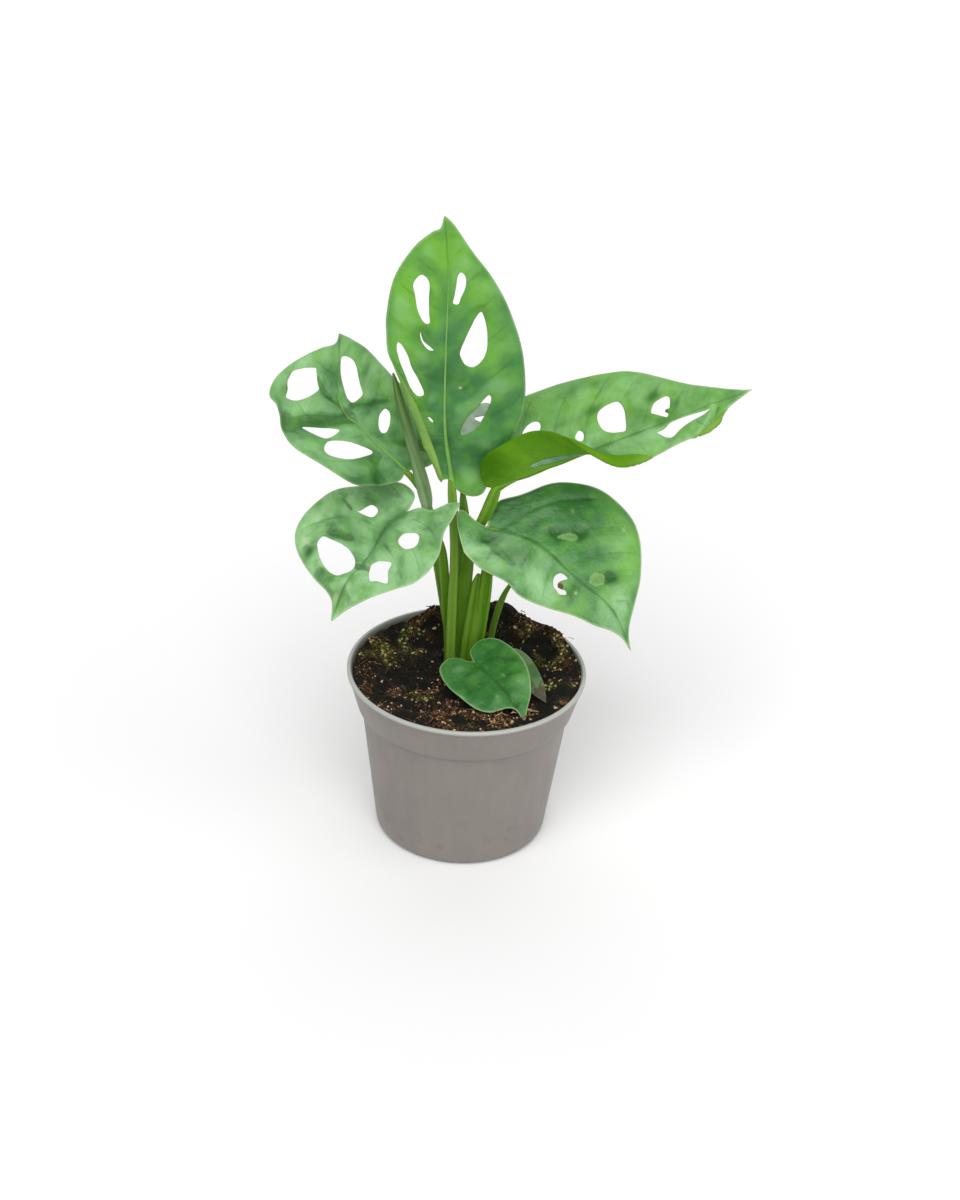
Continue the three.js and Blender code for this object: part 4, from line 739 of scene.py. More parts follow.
def blade_piece(name, pitch, thickness):
    """A fine blade: both faces, and a thin rounded edge round the outline and every hole."""
    blade, look = BLADES[name], BLADE_LOOKS[name]
    hems = look.get("hems", [])
    outline = blade_outline(blade, hems, pitch)
    holes = [curve_through(hole, pitch, True) if isinstance(hole[0], list) else egg(hole, pitch)
             for hole in look.get("holes", [])]
    holes += [egg(slit, pitch / 2) for slit in look.get("slits", [])]
    low, high = outline.min(0), outline.max(0)
    column = pitch * math.sin(math.pi / 3)
    xs = np.arange(math.floor(low[0] / column), math.ceil(high[0] / column)) * column
    rows = np.arange(low[1], high[1], pitch)
    grid = np.array([(x, y + pitch / 2 * (k % 2)) for k, x in enumerate(xs) for y in rows])
    # The grid is stirred a little, apart from the column on the midrib.
    shift = np.random.default_rng(5).uniform(-0.02, 0.02, grid.shape)
    shift[np.abs(grid[:, 0]) < 1e-6, 0] = 0
    flat, faces = triangulated([outline] + holes, grid + shift, 0.55 * pitch)

    hole_gap = np.full(len(flat), 99.0)
    for loop in holes:
        hole_gap = np.minimum(hole_gap, loop_distance(flat, loop))
    outer_gap = loop_distance(flat, outline)
    margin = np.minimum(hole_gap, outer_gap)
    x, y = flat.T
    ripple = 0.35 * waves(flat, 9, 3.1) + 0.14 * waves(flat, 3.8, 8.7)
    ripple += 0.25 * waves(flat, 5, 5.5) * (1 - ease(0, 4, outer_gap))

    # The relief stands on the bent surface, and a folded hem has none.
    folded_x, lift = folded(blade, hems, x, y)
    step = 0.3
    dx = bent(blade, folded_x + step, y) - bent(blade, folded_x - step, y)
    dy = bent(blade, folded_x, y + step) - bent(blade, folded_x, y - step)
    high = lift + relief(blade, look, folded_x, y, margin, ripple) * (lift < 0.05)
    place = bent(blade, folded_x, y) + unit(np.cross(dx, dy)) * high[:, None]
    a, b, c = (place[faces[:, k]] for k in range(3))
    normal = np.zeros_like(place)
    for k in range(3):
        np.add.at(normal, faces[:, k], np.cross(b - a, c - a))
    normal = unit(normal)
    half = thickness / 2 * (0.4 + 0.6 * np.sqrt(np.clip(margin / 0.9, 0, 1)))[:, None]
    rib = 0.45 * (1 - y / blade["length"]) * np.exp(-((x / 0.55) ** 2)) * ease(0, 1.5, margin)
    top, under = place + normal * half, place - normal * (half + rib[:, None])

    # Each open edge gets a point a little further out, half way between the faces.
    sides = np.concatenate([faces[:, [0, 1]], faces[:, [1, 2]], faces[:, [2, 0]]])
    known = set(map(tuple, sides))
    rim = np.array([s for s in sides if (s[1], s[0]) not in known])
    outward = np.zeros_like(flat)
    run = flat[rim[:, 1]] - flat[rim[:, 0]]
    for k in range(2):
        np.add.at(outward, rim[:, k], np.stack([run[:, 1], -run[:, 0]], axis=1))
    on_rim = np.unique(rim)
    start = flat[on_rim]
    spot = start + RIM_REACH * outward[on_rim] / np.linalg.norm(outward[on_rim], axis=1)[:, None]
    edge = place[on_rim] + (lifted(blade, hems, spot) - lifted(blade, hems, start))
    count = len(flat)
    number = np.full(count, -1)
    number[on_rim] = 2 * count + np.arange(len(on_rim))
    p, q = rim.T
    walls = np.concatenate([np.stack([p, number[p], number[q], q], axis=1),
                            np.stack([number[p], count + p, count + q, number[q]], axis=1)])
    all_faces = faces.tolist() + (faces[:, ::-1] + count).tolist() + walls.tolist()
    made = new_object(name + "_blade", np.concatenate([top, under, edge]), all_faces)

    window = np.zeros(count)
    for points in look.get("windows", []):
        loop = curve_through(points, 0.4, True)
        gap = np.where(inside_loop(flat, loop), 0, loop_distance(flat, loop))
        window = np.maximum(window, 1 - ease(0, 0.3, gap))
    values = {
        "lane": vein_field(blade, look, x, y)[0],
        "along": y / blade["length"],
        "margin": np.minimum(outer_gap, 9),
        "hole": np.minimum(hole_gap, 9),
        "window": window,
        "pallor": look["pallor"] + (1 - look["pallor"]) * patches(look.get("painted_sheen", []), x, y),
        "raised": relief(blade, look, x, y, margin, ripple) / FULL_RELIEF,
    }
    values |= {key: np.full(count, look[key]) for key in ("rib", "rim", "below")}
    values |= {key: patches(look.get(key, []), x, y) for key in ("light", "dark", "pale", "brown")}
    for key, value in values.items():
        add_values(made.data, key, np.concatenate([value, value, value[on_rim]]))
    add_values(made.data, "under", np.repeat([0, 1, 0.5], [count, count, len(on_rim)]))
    add_flat_map(made.data, np.concatenate([flat, flat, start]))
    return made


def film_piece(name, points, thickness):
    """A thin skin across part of a hole, on the same bent surface as its blade."""
    blade = BLADES[name]
    loop = curve_through(points, 0.5, True)
    grid = np.array([(x, y) for x in np.arange(loop[:, 0].min(), loop[:, 0].max(), 0.6)
                     for y in np.arange(loop[:, 1].min(), loop[:, 1].max(), 0.6)])
    flat, faces = triangulated([loop], grid, 0.3)
    x, y = flat.T
    place = bent(blade, x, y)
    normal = bent_normal(blade, x, y, place, 0.3)
    lift = (0.05 * waves(flat, 3.5, 4.2) - 0.12)[:, None]
    count, rim = len(flat), len(loop)
    points = np.concatenate([place + normal * (lift + way * thickness / 2) for way in (1, -1)])
    walls = [(i, count + i, count + (i + 1) % rim, (i + 1) % rim) for i in range(rim)]
    x, y = loop.T
    if (x * np.roll(y, -1) - np.roll(x, -1) * y).sum() < 0:
        walls = [wall[::-1] for wall in walls]
    made = new_object(name + "_film", points, faces.tolist() + (faces[:, ::-1] + count).tolist() + walls)
    add_flat_map(made.data, np.concatenate([flat, flat]))
    return made


def strand_piece(name, strand, step=0.8, sides=32):
    """A strand along its route, oval with a channel or rolled up, with domed ends."""
    route = curve_through(strand["route"], step, spaced=True)
    count = len(route)
    at = np.linspace(0, 1, count)
    tangent = unit(np.gradient(route, axis=0))
    across = unit(np.cross(tangent, [0, 1, 0]))
    deep = np.cross(across, tangent)
    wide, thick = keyed(strand["width"], at), keyed(strand["depth"], at)
    angle = around(sides)
    foot, top, facing = strand["channel"]
    off = np.abs(np.angle(np.exp(1j * (angle - math.radians(facing)))))
    cut, lips = np.exp(-((off / 0.55) ** 2)), np.exp(-(((off - 0.85) / 0.3) ** 2))
    rolled = strand.get("rolled", 0)
    vertices = []
    for k in range(count):
        share = foot + (top - foot) * at[k]
        seam = math.radians(facing + SEAM_TURN * at[k])
        spiral = ((angle - seam) / (2 * np.pi)) % 1 - 0.5
        reach = 1 - share * cut + 0.025 * np.cos(9 * angle) + rolled * spiral
        bump = 1 + 0.03 * noise.noise((0, 0, k * step / 5))
        vertices.append(route[k] + np.outer(wide[k] * np.cos(angle) * reach * bump, across[k])
                        + np.outer(thick[k] * np.sin(angle) * reach * bump, deep[k]))
    foot_dome, top_dome = (
        [route[end] + tangent[end] * way * out * thick[end] + (vertices[end] - route[end]) * shrink
         for shrink, out in ((0.8, 0.3), (0.45, 0.45))] for end, way in ((0, -1), (-1, 1)))
    vertices = foot_dome[::-1] + vertices + top_dome
    rows = len(vertices)
    points = np.concatenate(vertices + [vertices[0].mean(0)[None], vertices[-1].mean(0)[None]])
    faces = [(a, d, c, b) for a, b, c, d in ring_faces(rows, sides)]
    last = (rows - 1) * sides
    for side in range(sides):
        after = (side + 1) % sides
        faces += [(rows * sides, side, after), (rows * sides + 1, last + after, last + side)]
    made = new_object(name, points, faces)
    run = np.repeat(np.linspace(0, 1, rows), sides)
    seams = (facing + SEAM_TURN * np.linspace(0, 1, rows)) / 360
    turn = np.abs((angle[None, :] / (2 * np.pi) - seams[:, None] + 0.5) % 1 - 0.5) * 360
    low, high = strand["tone"]
    for key, value, ends in (("along", run, [0, 1]), ("tone", low + (high - low) * run, [low, high]),
                             ("channel", np.tile(cut, rows), [0, 0]), ("lip", np.tile(lips, rows), [0, 0]),
                             ("seam", (rolled > 0) * np.exp(-((turn.ravel() / 14) ** 2)), [0, 0])):
        add_values(made.data, key, np.concatenate([value, ends]))
    flat = [(a * wide.mean(), row * step) for row in range(rows) for a in angle]
    add_flat_map(made.data, flat + [(0, 0), (0, rows * step)])
    return made


def body_radius(z):
    """Outer radius of the pot's body at a height."""
    share = z / (POT["height"] - POT["band_height"])
    return POT["foot_radius"] + share * (POT["band_foot_radius"] - POT["band_step"] - POT["foot_radius"])


def inner_radius(z):
    """Inner radius of the pot beside the soil at a height."""
    band_foot, wall = POT["height"] - POT["band_height"], POT["wall"]
    low, inside = body_radius(band_foot - 1) - wall, POT["band_foot_radius"] - wall
    return np.interp(z, [0, band_foot - 1, band_foot, POT["height"]],
                     [body_radius(0) - wall, low, inside, POT["rim_radius"] - wall])


def rounded(profile, radius, steps=4):
    """A profile with every inner corner rounded by up to radius."""
    made = [profile[0]]
    for a, b, c in zip(profile[:-2], profile[1:-1], profile[2:]):
        a, b, c = (np.array(v, float) for v in (a, b, c))
        back, on = a - b, c - b
        reach = min(radius, 0.45 * np.linalg.norm(back), 0.45 * np.linalg.norm(on))
        start, end = b + back / np.linalg.norm(back) * reach, b + on / np.linalg.norm(on) * reach
        for t in np.linspace(0, 1, steps + 1):
            made.append(tuple((1 - t) ** 2 * start + 2 * t * (1 - t) * b + t**2 * end))
    return made + [profile[-1]]


def disc_with_holes(radius, z, sides, pitch=3):
    """A flat disc with the drain holes cut out of it: its points, triangles and loops."""
    loops = [ring(radius, around(sides), 0)[:, :2]]
    for middle in around(POT["drain_holes"], 0.5):
        centre = POT["drain_ring"] * np.array([math.cos(middle), math.sin(middle)])
        loops.append(centre + ring(POT["drain_radius"], around(40), 0)[:, :2])
    steps = np.arange(-radius, radius, pitch)
    grid = np.array([(x, y) for x in steps for y in steps])
    grid = grid + np.random.default_rng(2).uniform(-0.05, 0.05, grid.shape)
    flat, faces = triangulated(loops, grid[np.hypot(*grid.T) < radius - 0.6 * pitch], 0.5)
    return np.column_stack([flat, np.full(len(flat), z)]), faces, loops


def pot_piece(sides):
    """The pot: a turned wall and rim, and a floor with drain holes."""
    height, band_foot = POT["height"], POT["height"] - POT["band_height"]
    lip_foot, floor, rim_radius = height - POT["lip_height"], POT["floor"], POT["rim_radius"]
    foot = body_radius(0) - POT["foot_round"]
    floor_edge = inner_radius(floor) - 2.4
    profile = [(foot, 0)]
    for k in range(1, 7):
        angle = k * math.pi / 12
        z = POT["foot_round"] * (1 - math.cos(angle))
        profile.append((foot + (body_radius(z) - foot) * math.sin(angle), z))
    corners = [profile[-1], (body_radius(band_foot - 0.5), band_foot - 0.5),
               (POT["band_foot_radius"] - 0.1, band_foot), (POT["band_top_radius"], lip_foot - 0.05),
               (rim_radius, lip_foot + 0.15), (rim_radius, height), (rim_radius - POT["wall"], height),
               (inner_radius(band_foot), band_foot), (inner_radius(band_foot - 1), band_foot - 1),
               (inner_radius(floor), floor), (floor_edge, floor)]
    profile = profile[:-1] + rounded(corners, 0.45)
    # Long straight stretches are split, so that no quad of the wall is long and thin.
    fine = [profile[0]]
    for a, b in zip(profile[:-1], profile[1:]):
        parts = max(1, round(math.dist(a, b) / 2.5))
        fine += [tuple(np.array(a) + (np.array(b) - a) * k / parts) for k in range(1, parts + 1)]
    made = bmesh.new()

    def add(points, faces):
        new = [made.verts.new(p * MM) for p in points]
        for face in faces:
            made.faces.new([new[i] for i in face])

    add(np.concatenate([ring(r, around(sides), z) for r, z in fine]), ring_faces(len(fine), sides))
    under, under_faces, loops = disc_with_holes(foot, 0, sides)
    over, over_faces, _ = disc_with_holes(floor_edge, floor, sides)
    add(under, under_faces[:, ::-1])
    add(over, over_faces)
    first = sides
    for drill in loops[1:]:
        count = len(drill)
        hole = slice(first, first + count)
        add(np.concatenate([under[hole], over[hole]]),
            [(i, i + count, (i + 1) % count + count, (i + 1) % count) for i in range(count)])
        first += count
    bmesh.ops.remove_doubles(made, verts=made.verts, dist=0.005 * MM)
    mesh = bpy.data.meshes.new("nursery_pot")
    made.to_mesh(mesh)
    made.free()
    mesh.polygons.foreach_set("use_smooth", [True] * len(mesh.polygons))
    mesh.set_sharp_from_angle(angle=math.radians(50))
    return link_object("nursery_pot", mesh)


def soil_height(x, y):
    edge = SOIL["edge_rise"] * (np.hypot(x, y) / inner_radius(SOIL["level"])) ** 3
    heaps = [high * np.exp(-((x - cx) ** 2 + (y - cy) ** 2) / spread**2)
             for cx, cy, high, spread in SOIL["heaps"]]
    return SOIL["level"] + edge + sum(heaps)


def soil_piece(rings, sides, clods):
    """The soil: a lumpy top of peat clods on a plain plug that fills the pot."""
    gap, floor = 0.08, POT["floor"]
    band_foot = POT["height"] - POT["band_height"]
    angle = around(sides)
    rows = [ring(inner_radius(z) - cut - gap, angle, z + up) for z, cut, up in (
        (floor, 2.4, 0.05), (floor + 3, 0, 0), (band_foot - 1, 0, 0), (band_foot, 0, 0.4))]
    top = len(rows) * sides
    near = inner_radius(SOIL["level"]) - gap
    level = soil_height(near * np.cos(angle), near * np.sin(angle))
    reach = inner_radius(np.minimum(level, POT["height"])) - gap
    for k in range(rings, 0, -1):
        radius = reach * k / rings
        rows.append(ring(radius, angle, soil_height(radius * np.cos(angle), radius * np.sin(angle))))
    points = np.concatenate(rows)
    for k in range(top, len(points)):
        p = Vector(points[k])
        lumps = noise.turbulence(p / 5.5, 3, False, noise_basis="VORONOI_F1", amplitude_scale=0.5)
        grit = noise.noise(p / 1.3) * 0.35 + noise.noise(p / 3 + Vector((9, 2, 4))) * 0.6
        radius = math.hypot(p.x, p.y)
        points[k, 2] += clods * ((0.55 - lumps) * 1.6 + grit) * float(1 - 0.6 * ease(28, 32, radius))
    points = np.concatenate([points, [points[-sides:, :].mean(0)], [[0, 0, floor + 0.05]]])
    faces = ring_faces(len(rows), sides)
    last = (len(rows) - 1) * sides
    for i in range(sides):
        after = (i + 1) % sides
        faces += [(last + i, last + after, len(points) - 2), (after, i, len(points) - 1)]
    made = new_object("soil_bed", points, faces)
    x, y = points[:, 0], points[:, 1]
    broken = np.array([noise.noise((a / 5, b / 5, 7.3)) for a, b in zip(x, y)])
    spread = {kind: patches([[cx, cy, reach, reach, 1] for cx, cy, reach in SOIL[kind]], x, y)
              for kind in ("hollows", "crumbly", "moss")}
    crumbly = (0.3 + 0.7 * spread["crumbly"]) * (1 - spread["hollows"]) * ease(-0.4, 0.4, broken)
    add_values(made.data, "crumbly", np.clip(crumbly, 0.03, 1))
    add_values(made.data, "mossy", spread["moss"] * ease(-0.2, 0.5, broken))
    return made


def soil_top():
    """The upper faces of the soil, for what is scattered on it."""
    made = bmesh.new()
    made.from_mesh(bpy.data.objects["soil_bed"].data)
    low = [f for f in made.faces if f.calc_center_median().z < (SOIL["level"] - 3) * MM or f.normal.z < 0.2]
    bmesh.ops.delete(made, geom=low, context="FACES")
    mesh = bpy.data.meshes.new("soil_top")
    made.to_mesh(mesh)
    made.free()
    return mesh


# Short names for the kinds of node used most, each with Blender's name, the inputs in the order in
# which node() fills them, and its usual settings.
NODE_KINDS = {
    "map": ("ShaderNodeMapRange", ("Value", "From Min", "From Max", "To Min", "To Max"),
            {"interpolation_type": "SMOOTHSTEP"}),
    "mix": ("ShaderNodeMix", (0, 6, 7), {"data_type": "RGBA", "clamp_factor": True}),
    "bump": ("ShaderNodeBump", ("Height", "Strength", "Distance", "Normal"), {}),
}
# The output that is linked on, where it isn't the first.
USUAL_OUTPUT = {"ShaderNodeMix": 2, "ShaderNodeAttribute": "Fac"}


def node(tree, kind, *inputs, **settings):
    """Adds a node with its settings, and fills or links its inputs, given in order or by name.

    A kind in capitals is the operation of a Math node. A node given as an input links its usual output.
    """
    if kind.isupper():
        kind, settings = "ShaderNodeMath", settings | {"operation": kind}
    kind, order, usual = NODE_KINDS.get(kind, (kind, range(9), {}))
    made = tree.nodes.new(kind)
    for name, value in (usual | settings).items():
        setattr(made, name, value)
    by_name = bool(inputs) and isinstance(inputs[0], dict)
    for name, value in inputs[0].items() if by_name else zip(order, inputs):
        if isinstance(value, bpy.types.Node):
            value = value.outputs[USUAL_OUTPUT.get(value.bl_idname, 0)]
        if isinstance(value, bpy.types.NodeSocket):
            tree.links.new(value, made.inputs[name])
        else:
            made.inputs[name].default_value = value
    return made


def scatter_tree(name, dents, fibres=False):
    """Scatters small ragged lumps or threads over a surface. Sizes are radii in metres."""
    tree = bpy.data.node_groups.new(name, "GeometryNodeTree")
    add = partial(node, tree)
    face = tree.interface
    face.new_socket("Surface", in_out="INPUT", socket_type="NodeSocketGeometry")
    for title, kind, value in (("Per square metre", "Float", 100000.0), ("Seed", "Int", 1),
                               ("Smallest", "Float", 0.0003), ("Largest", "Float", 0.001),
                               ("Detail", "Int", 1), ("Sink", "Float", 0.0),
                               ("Where", "String", "crumbly"), ("Material", "Material", None)):
        socket = face.new_socket(title, in_out="INPUT", socket_type="NodeSocket" + kind)
        if value is not None:
            socket.default_value = value
    face.new_socket("Lumps", in_out="OUTPUT", socket_type="NodeSocketGeometry")
    given = add("NodeGroupInput").outputs
    share = add("GeometryNodeInputNamedAttribute", {"Name": given["Where"]}, data_type="FLOAT")
    spots = add("GeometryNodeDistributePointsOnFaces", {
        "Mesh": given["Surface"], "Seed": given["Seed"],
        "Density": add("MULTIPLY", given["Per square metre"], share)})
    tint = add("FunctionNodeRandomValue", {"Seed": given["Seed"]}, data_type="FLOAT")
    named = add("GeometryNodeStoreNamedAttribute", {
        "Geometry": spots, "Name": "tint", "Value": tint.outputs[1]}, data_type="FLOAT", domain="POINT")
    size = add("FunctionNodeRandomValue", {
        2: given["Smallest"], 3: given["Largest"], "Seed": given["Seed"]}, data_type="FLOAT")
    shape = add("FunctionNodeRandomValue", {0: (0.6, 0.6, 0.4), 1: (1.4, 1.1, 1.0), "Seed": 3},
                data_type="FLOAT_VECTOR")
    scale = add("ShaderNodeVectorMath", {0: shape, "Scale": size.outputs[1]}, operation="SCALE")
    turn = add("FunctionNodeRandomValue", {0: (-0.5, -0.5, 0.0), 1: (0.5, 0.5, 6.28), "Seed": 4},
               data_type="FLOAT_VECTOR")
    aimed = add("FunctionNodeAlignEulerToVector", {"Rotation": turn, "Vector": spots.outputs["Normal"]},
                axis="Z")
    if fibres:
        bow = add("GeometryNodeCurveQuadraticBezier", {
            "Resolution": 6, "Start": (-1.0, 0.0, 0.0), "Middle": (0.1, 0.5, 0.7), "End": (1.0, 0.1, 0.1)})
        section = add("GeometryNodeCurvePrimitiveCircle", {"Resolution": 4, "Radius": 0.045})
        lump = add("GeometryNodeCurveToMesh", {"Curve": bow, "Profile Curve": section, "Fill Caps": True})
    else:
        lump = add("GeometryNodeMeshIcoSphere", {"Radius": 1.0, "Subdivisions": given["Detail"]})
    copies = add("GeometryNodeInstanceOnPoints", {
        "Points": named, "Instance": lump, "Rotation": aimed, "Scale": scale})
    lowered = add("GeometryNodeTranslateInstances", {
        "Instances": copies, "Translation": add("ShaderNodeCombineXYZ", {"Z": given["Sink"]}),
        "Local Space": True})
    real = add("GeometryNodeRealizeInstances", {"Geometry": lowered})
    pattern = add("ShaderNodeTexNoise", {
        "Vector": add("GeometryNodeInputPosition"), "Scale": 900.0, "Detail": 1.0})
    centred = add("ShaderNodeVectorMath", pattern.outputs["Color"], (0.5, 0.5, 0.5), operation="SUBTRACT")
    dented = add("ShaderNodeVectorMath", {0: centred, "Scale": dents}, operation="SCALE")
    rough = add("GeometryNodeSetPosition", {"Geometry": real, "Offset": dented})
    add("NodeGroupOutput", add("GeometryNodeSetMaterial", {"Geometry": rough, "Material": given["Material"]}))
    return tree


def scattered(name, surface, tree, **inputs):
    """A plain mesh of what the tree scatters over a surface, a mesh of its own."""
    made = link_object(name, surface)
    modifier = made.modifiers.new("scatter", "NODES")
    modifier.node_group = tree
    for item in tree.interface.items_tree:
        if item.in_out == "INPUT" and item.name in inputs:
            modifier[item.identifier] = inputs[item.name]
    bpy.context.view_layer.update()
    graph = bpy.context.evaluated_depsgraph_get()
    plain = bpy.data.meshes.new_from_object(made.evaluated_get(graph), preserve_all_data_layers=True,
                                            depsgraph=graph)
    made.modifiers.clear()
    made.data = plain
    plain.name = name
    return made


def new_material(name):
    """A material with no nodes yet, and what adds them."""
    material = bpy.data.materials.new(name)
    material.use_nodes = True
    material.node_tree.nodes.clear()
    return material, partial(node, material.node_tree)


def coated(add, colour, *coats):
    """A colour under further ones, each laid on by its share."""
    for share, coat in coats:
        colour = add("mix", share, colour, coat)
    return colour


def cloudy(add, where, per_unit, size_mm, detail=2.0, stretch=(1, 1, 1)):
    """Noise of a real size. per_unit is how many millimetres one unit of the coordinates is."""
    scaled = add("ShaderNodeVectorMath", where, [per_unit / size_mm * s for s in stretch],
                 operation="MULTIPLY")
    return add("ShaderNodeTexNoise", {"Vector": scaled, "Scale": 1.0, "Detail": detail})


def leafy(add, *size):
    """Noise on the blade's or the strand's own flat map."""
    return cloudy(add, add("ShaderNodeUVMap", uv_map="flat"), UV_SPAN, *size)


def solid(add, *size):
    """Noise through the whole object."""
    return cloudy(add, add("ShaderNodeTexCoord").outputs["Object"], 1 / MM, *size)


def surfaced(add, skin, through=None, share=0.0):
    """Ends a material with its skin, and with the light that a thin piece lets through."""
    if through is not None:
        skin = add("ShaderNodeMixShader", share, skin, add("ShaderNodeBsdfTranslucent", through))
    add("ShaderNodeOutputMaterial", skin)


def blade_material(name, colours, gloss):
    """A fresh blade: a thin waxy skin that shines softly, and flesh that lets some light through."""
    material, add = new_material(name)
    deep, light, painted_sheen, pale, below, dead = (linear(c) for c in colours)
    shade = linear("1f5a08")
    (lane, along, margin, hole, pane, pallor, raised, rib_tone, rim, below_tone, sunny, dark, white, brown,
     under) = (add("ShaderNodeAttribute", attribute_name=key) for key in (
         "lane", "along", "margin", "hole", "window", "pallor", "raised", "rib", "rim", "below", "light",
         "dark", "pale", "brown", "under"))
    where = add("ShaderNodeUVMap", uv_map="flat")
    broad, patchy, mottle, fine = (leafy(add, *size) for size in ((10, 3), (6, 3), (4.5, 4), (1.8, 4)))
    across = add("ABSOLUTE", add("ShaderNodeSeparateXYZ", where))
    under = add("map", under, 0.35, 0.65)
    # Yellower in the light patches, which are partly painted light, in broad soft clouds, on the swellings
    # between veins, and in a halo round each hole.
    off_vein = add("PINGPONG", lane, 0.5)
    off_rib = add("MULTIPLY", add("map", across, 0.3 / UV_SPAN, 4 / UV_SPAN), add("map", margin, 0.5, 4))
    crest = add("MULTIPLY", add("map", off_vein, 0.1, 0.5, 0.0, 0.22), off_rib)
    cloud = add("map", broad, 0.35, 0.75, 0.0, 0.5)
    halo = add("map", hole, 0.2, 2.6, 0.3, 0.0)
    lightness = add("ADD", add("ADD", sunny, add("MAXIMUM", cloud, halo)), crest)
    lightness = add("SUBTRACT", lightness, add("MULTIPLY", dark, 0.6))
    # Painted sheen, laid in patches and fading between them.
    painted_sheen_share = add("MULTIPLY", pallor, add("map", patchy, 0.32, 0.62, 0.4, 1.0))
    painted_sheen_share = add("MULTIPLY", painted_sheen_share, add("map", dark, 0.0, 1.0, 1.0, 0.2))
    # Furrows get painted shade, with a little random mottle, and the swellings beside them painted sheen.
    furrow_shade_and_mottle = add("ADD", add("map", raised, -0.1, -0.6, 0.0, 0.6), add("map", mottle, 0.5, 0.75, 0.0, 0.2))
    # Side veins every few millimetres, with finer ones between them, stronger here and weaker there.
    main = add("map", off_vein, 0.012, 0.06, 1.0, 0.0)
    minor = add("map", add("PINGPONG", lane, 0.125), 0.008, 0.03, 1.0, 0.0)
    seen = add("MULTIPLY", off_rib, add("map", broad, 0.35, 0.65, 0.04, 0.24))
    # The midrib is a fine pale line in the lower part and a dark groove towards the tip, or all along; the
    # dark of the groove is painted shade.
    darkness = add("MAXIMUM", add("MULTIPLY", rib_tone, -1.0), 0.35)
    taper = add("POWER", add("map", along, 1.0, 0.0, 0.0, 1.0, interpolation_type="LINEAR"), 3.0)
    rib_width = add("map", taper, 0.0, 1.0, 0.2 / UV_SPAN, 0.75 / UV_SPAN, interpolation_type="LINEAR")
    rib_share = add("DIVIDE", across, rib_width)
    rib, groove_shade = (add("map", rib_share, *ends, 1.0, 0.0) for ends in ((0.5, 1.1), (0.8, 2.0)))
    pale_rib = add("MULTIPLY", rib, add("MAXIMUM", rib_tone, 0.0))
    pale_rib = add("MULTIPLY", pale_rib, add("map", along, 0.6, 0.97, 1.0, 0.0))
    edge = add("MULTIPLY", add("map", margin, 0.1, 0.45, 1.0, 0.0), rim)
    # The dark patches lay painted shade in creases, dents and folds, as well as deeper green.
    upper = coated(
        add, deep, (lightness, light), (painted_sheen_share, painted_sheen), (add("MULTIPLY", dark, 0.5), shade), (furrow_shade_and_mottle, shade),
        (add("map", raised, 0.1, 0.6, 0.0, 0.3), painted_sheen), (add("map", mottle, 0.5, 0.3, 0.0, 0.3), light),
        (add("MULTIPLY", main, seen), shade), (add("MULTIPLY", minor, add("MULTIPLY", seen, 0.3)), shade),
        (add("MULTIPLY", groove_shade, add("MULTIPLY", darkness, 0.9)), shade),
        (add("MULTIPLY", pale_rib, 0.8), light), (add("MULTIPLY", pale_rib, 0.18), pale), (edge, pale),
        (add("MULTIPLY", pane, 0.5), linear("8fbf68")),
        (add("MULTIPLY", pane, add("SUBTRACT", 1.0, pane)), pale), (white, pale))
    # The underside is duller and its veins stand out pale.
    drawn = add("MAXIMUM", add("MULTIPLY", main, off_rib), rib)
    drawn = add("MULTIPLY", drawn, below_tone)
    lower = coated(
        add, below, (cloud, linear("79a91c")), (add("MULTIPLY", below_tone, 0.6), pale),
        (add("MULTIPLY", sunny, 0.6), linear("9cc45c")), (add("MULTIPLY", drawn, 0.7), pale),
        (add("MULTIPLY", dark, 0.8), darker(below, 0.5)))
    speckled = add("MULTIPLY", brown, add("map", fine, 0.35, 0.65, 0.5, 1.5))
    colour = coated(add, upper, (under, lower), (add("map", speckled, 0.38, 0.55), dead))
    # The finest net of veins, drawn about 1.2 mm across, as coarse as it needs to be to show.
    cells = add("ShaderNodeTexVoronoi", {"Vector": where, "Scale": UV_SPAN / 1.2}, feature="DISTANCE_TO_EDGE")
    veins = add("MULTIPLY", add("MAXIMUM", main, minor), off_rib)
    lines = add("SUBTRACT", add("map", cells, 0.0, 0.12), veins)
    bump = add("bump", fine, 0.3, 0.00025, add("bump", lines, 0.16, 0.0001))
    bump = add("ShaderNodeBump", {"Height": mottle, "Strength": 0.6, "Distance": 0.0015, "Normal": bump,
                                  "Filter Width": 0.1})
    wax = add("map", fine, 0.2, 0.8, gloss - 0.05, gloss + 0.07)
    skin = add("ShaderNodeBsdfPrincipled", {
        "Base Color": colour, "Normal": bump, "IOR": 1.47, "Coat Roughness": 0.35,
        "Roughness": add("ShaderNodeMix", {0: under, 2: wax, 3: 0.6}, data_type="FLOAT").outputs[0],
        "Specular IOR Level": add("map", under, 0.0, 1.0, 0.5, 0.06),
        "Coat Weight": add("map", under, 0.0, 1.0, 0.12, 0.0)})
    surfaced(add, skin, add("mix", 0.5, colour, light), 0.2)
    return material


def film_material(name, colours):
    """A skin across a hole: thin, cloudy and half clear. The grey one is dried, and the pale blue-green one
    is painted light.
    """
    material, add = new_material(name)
    dim, bright = (linear(c) for c in colours)
    colour = add("mix", add("map", leafy(add, 3, 3), 0.3, 0.7), dim, bright)
    surfaced(add, add("ShaderNodeBsdfPrincipled", {"Base Color": colour, "Roughness": 0.5}), colour, 0.35)
    return material


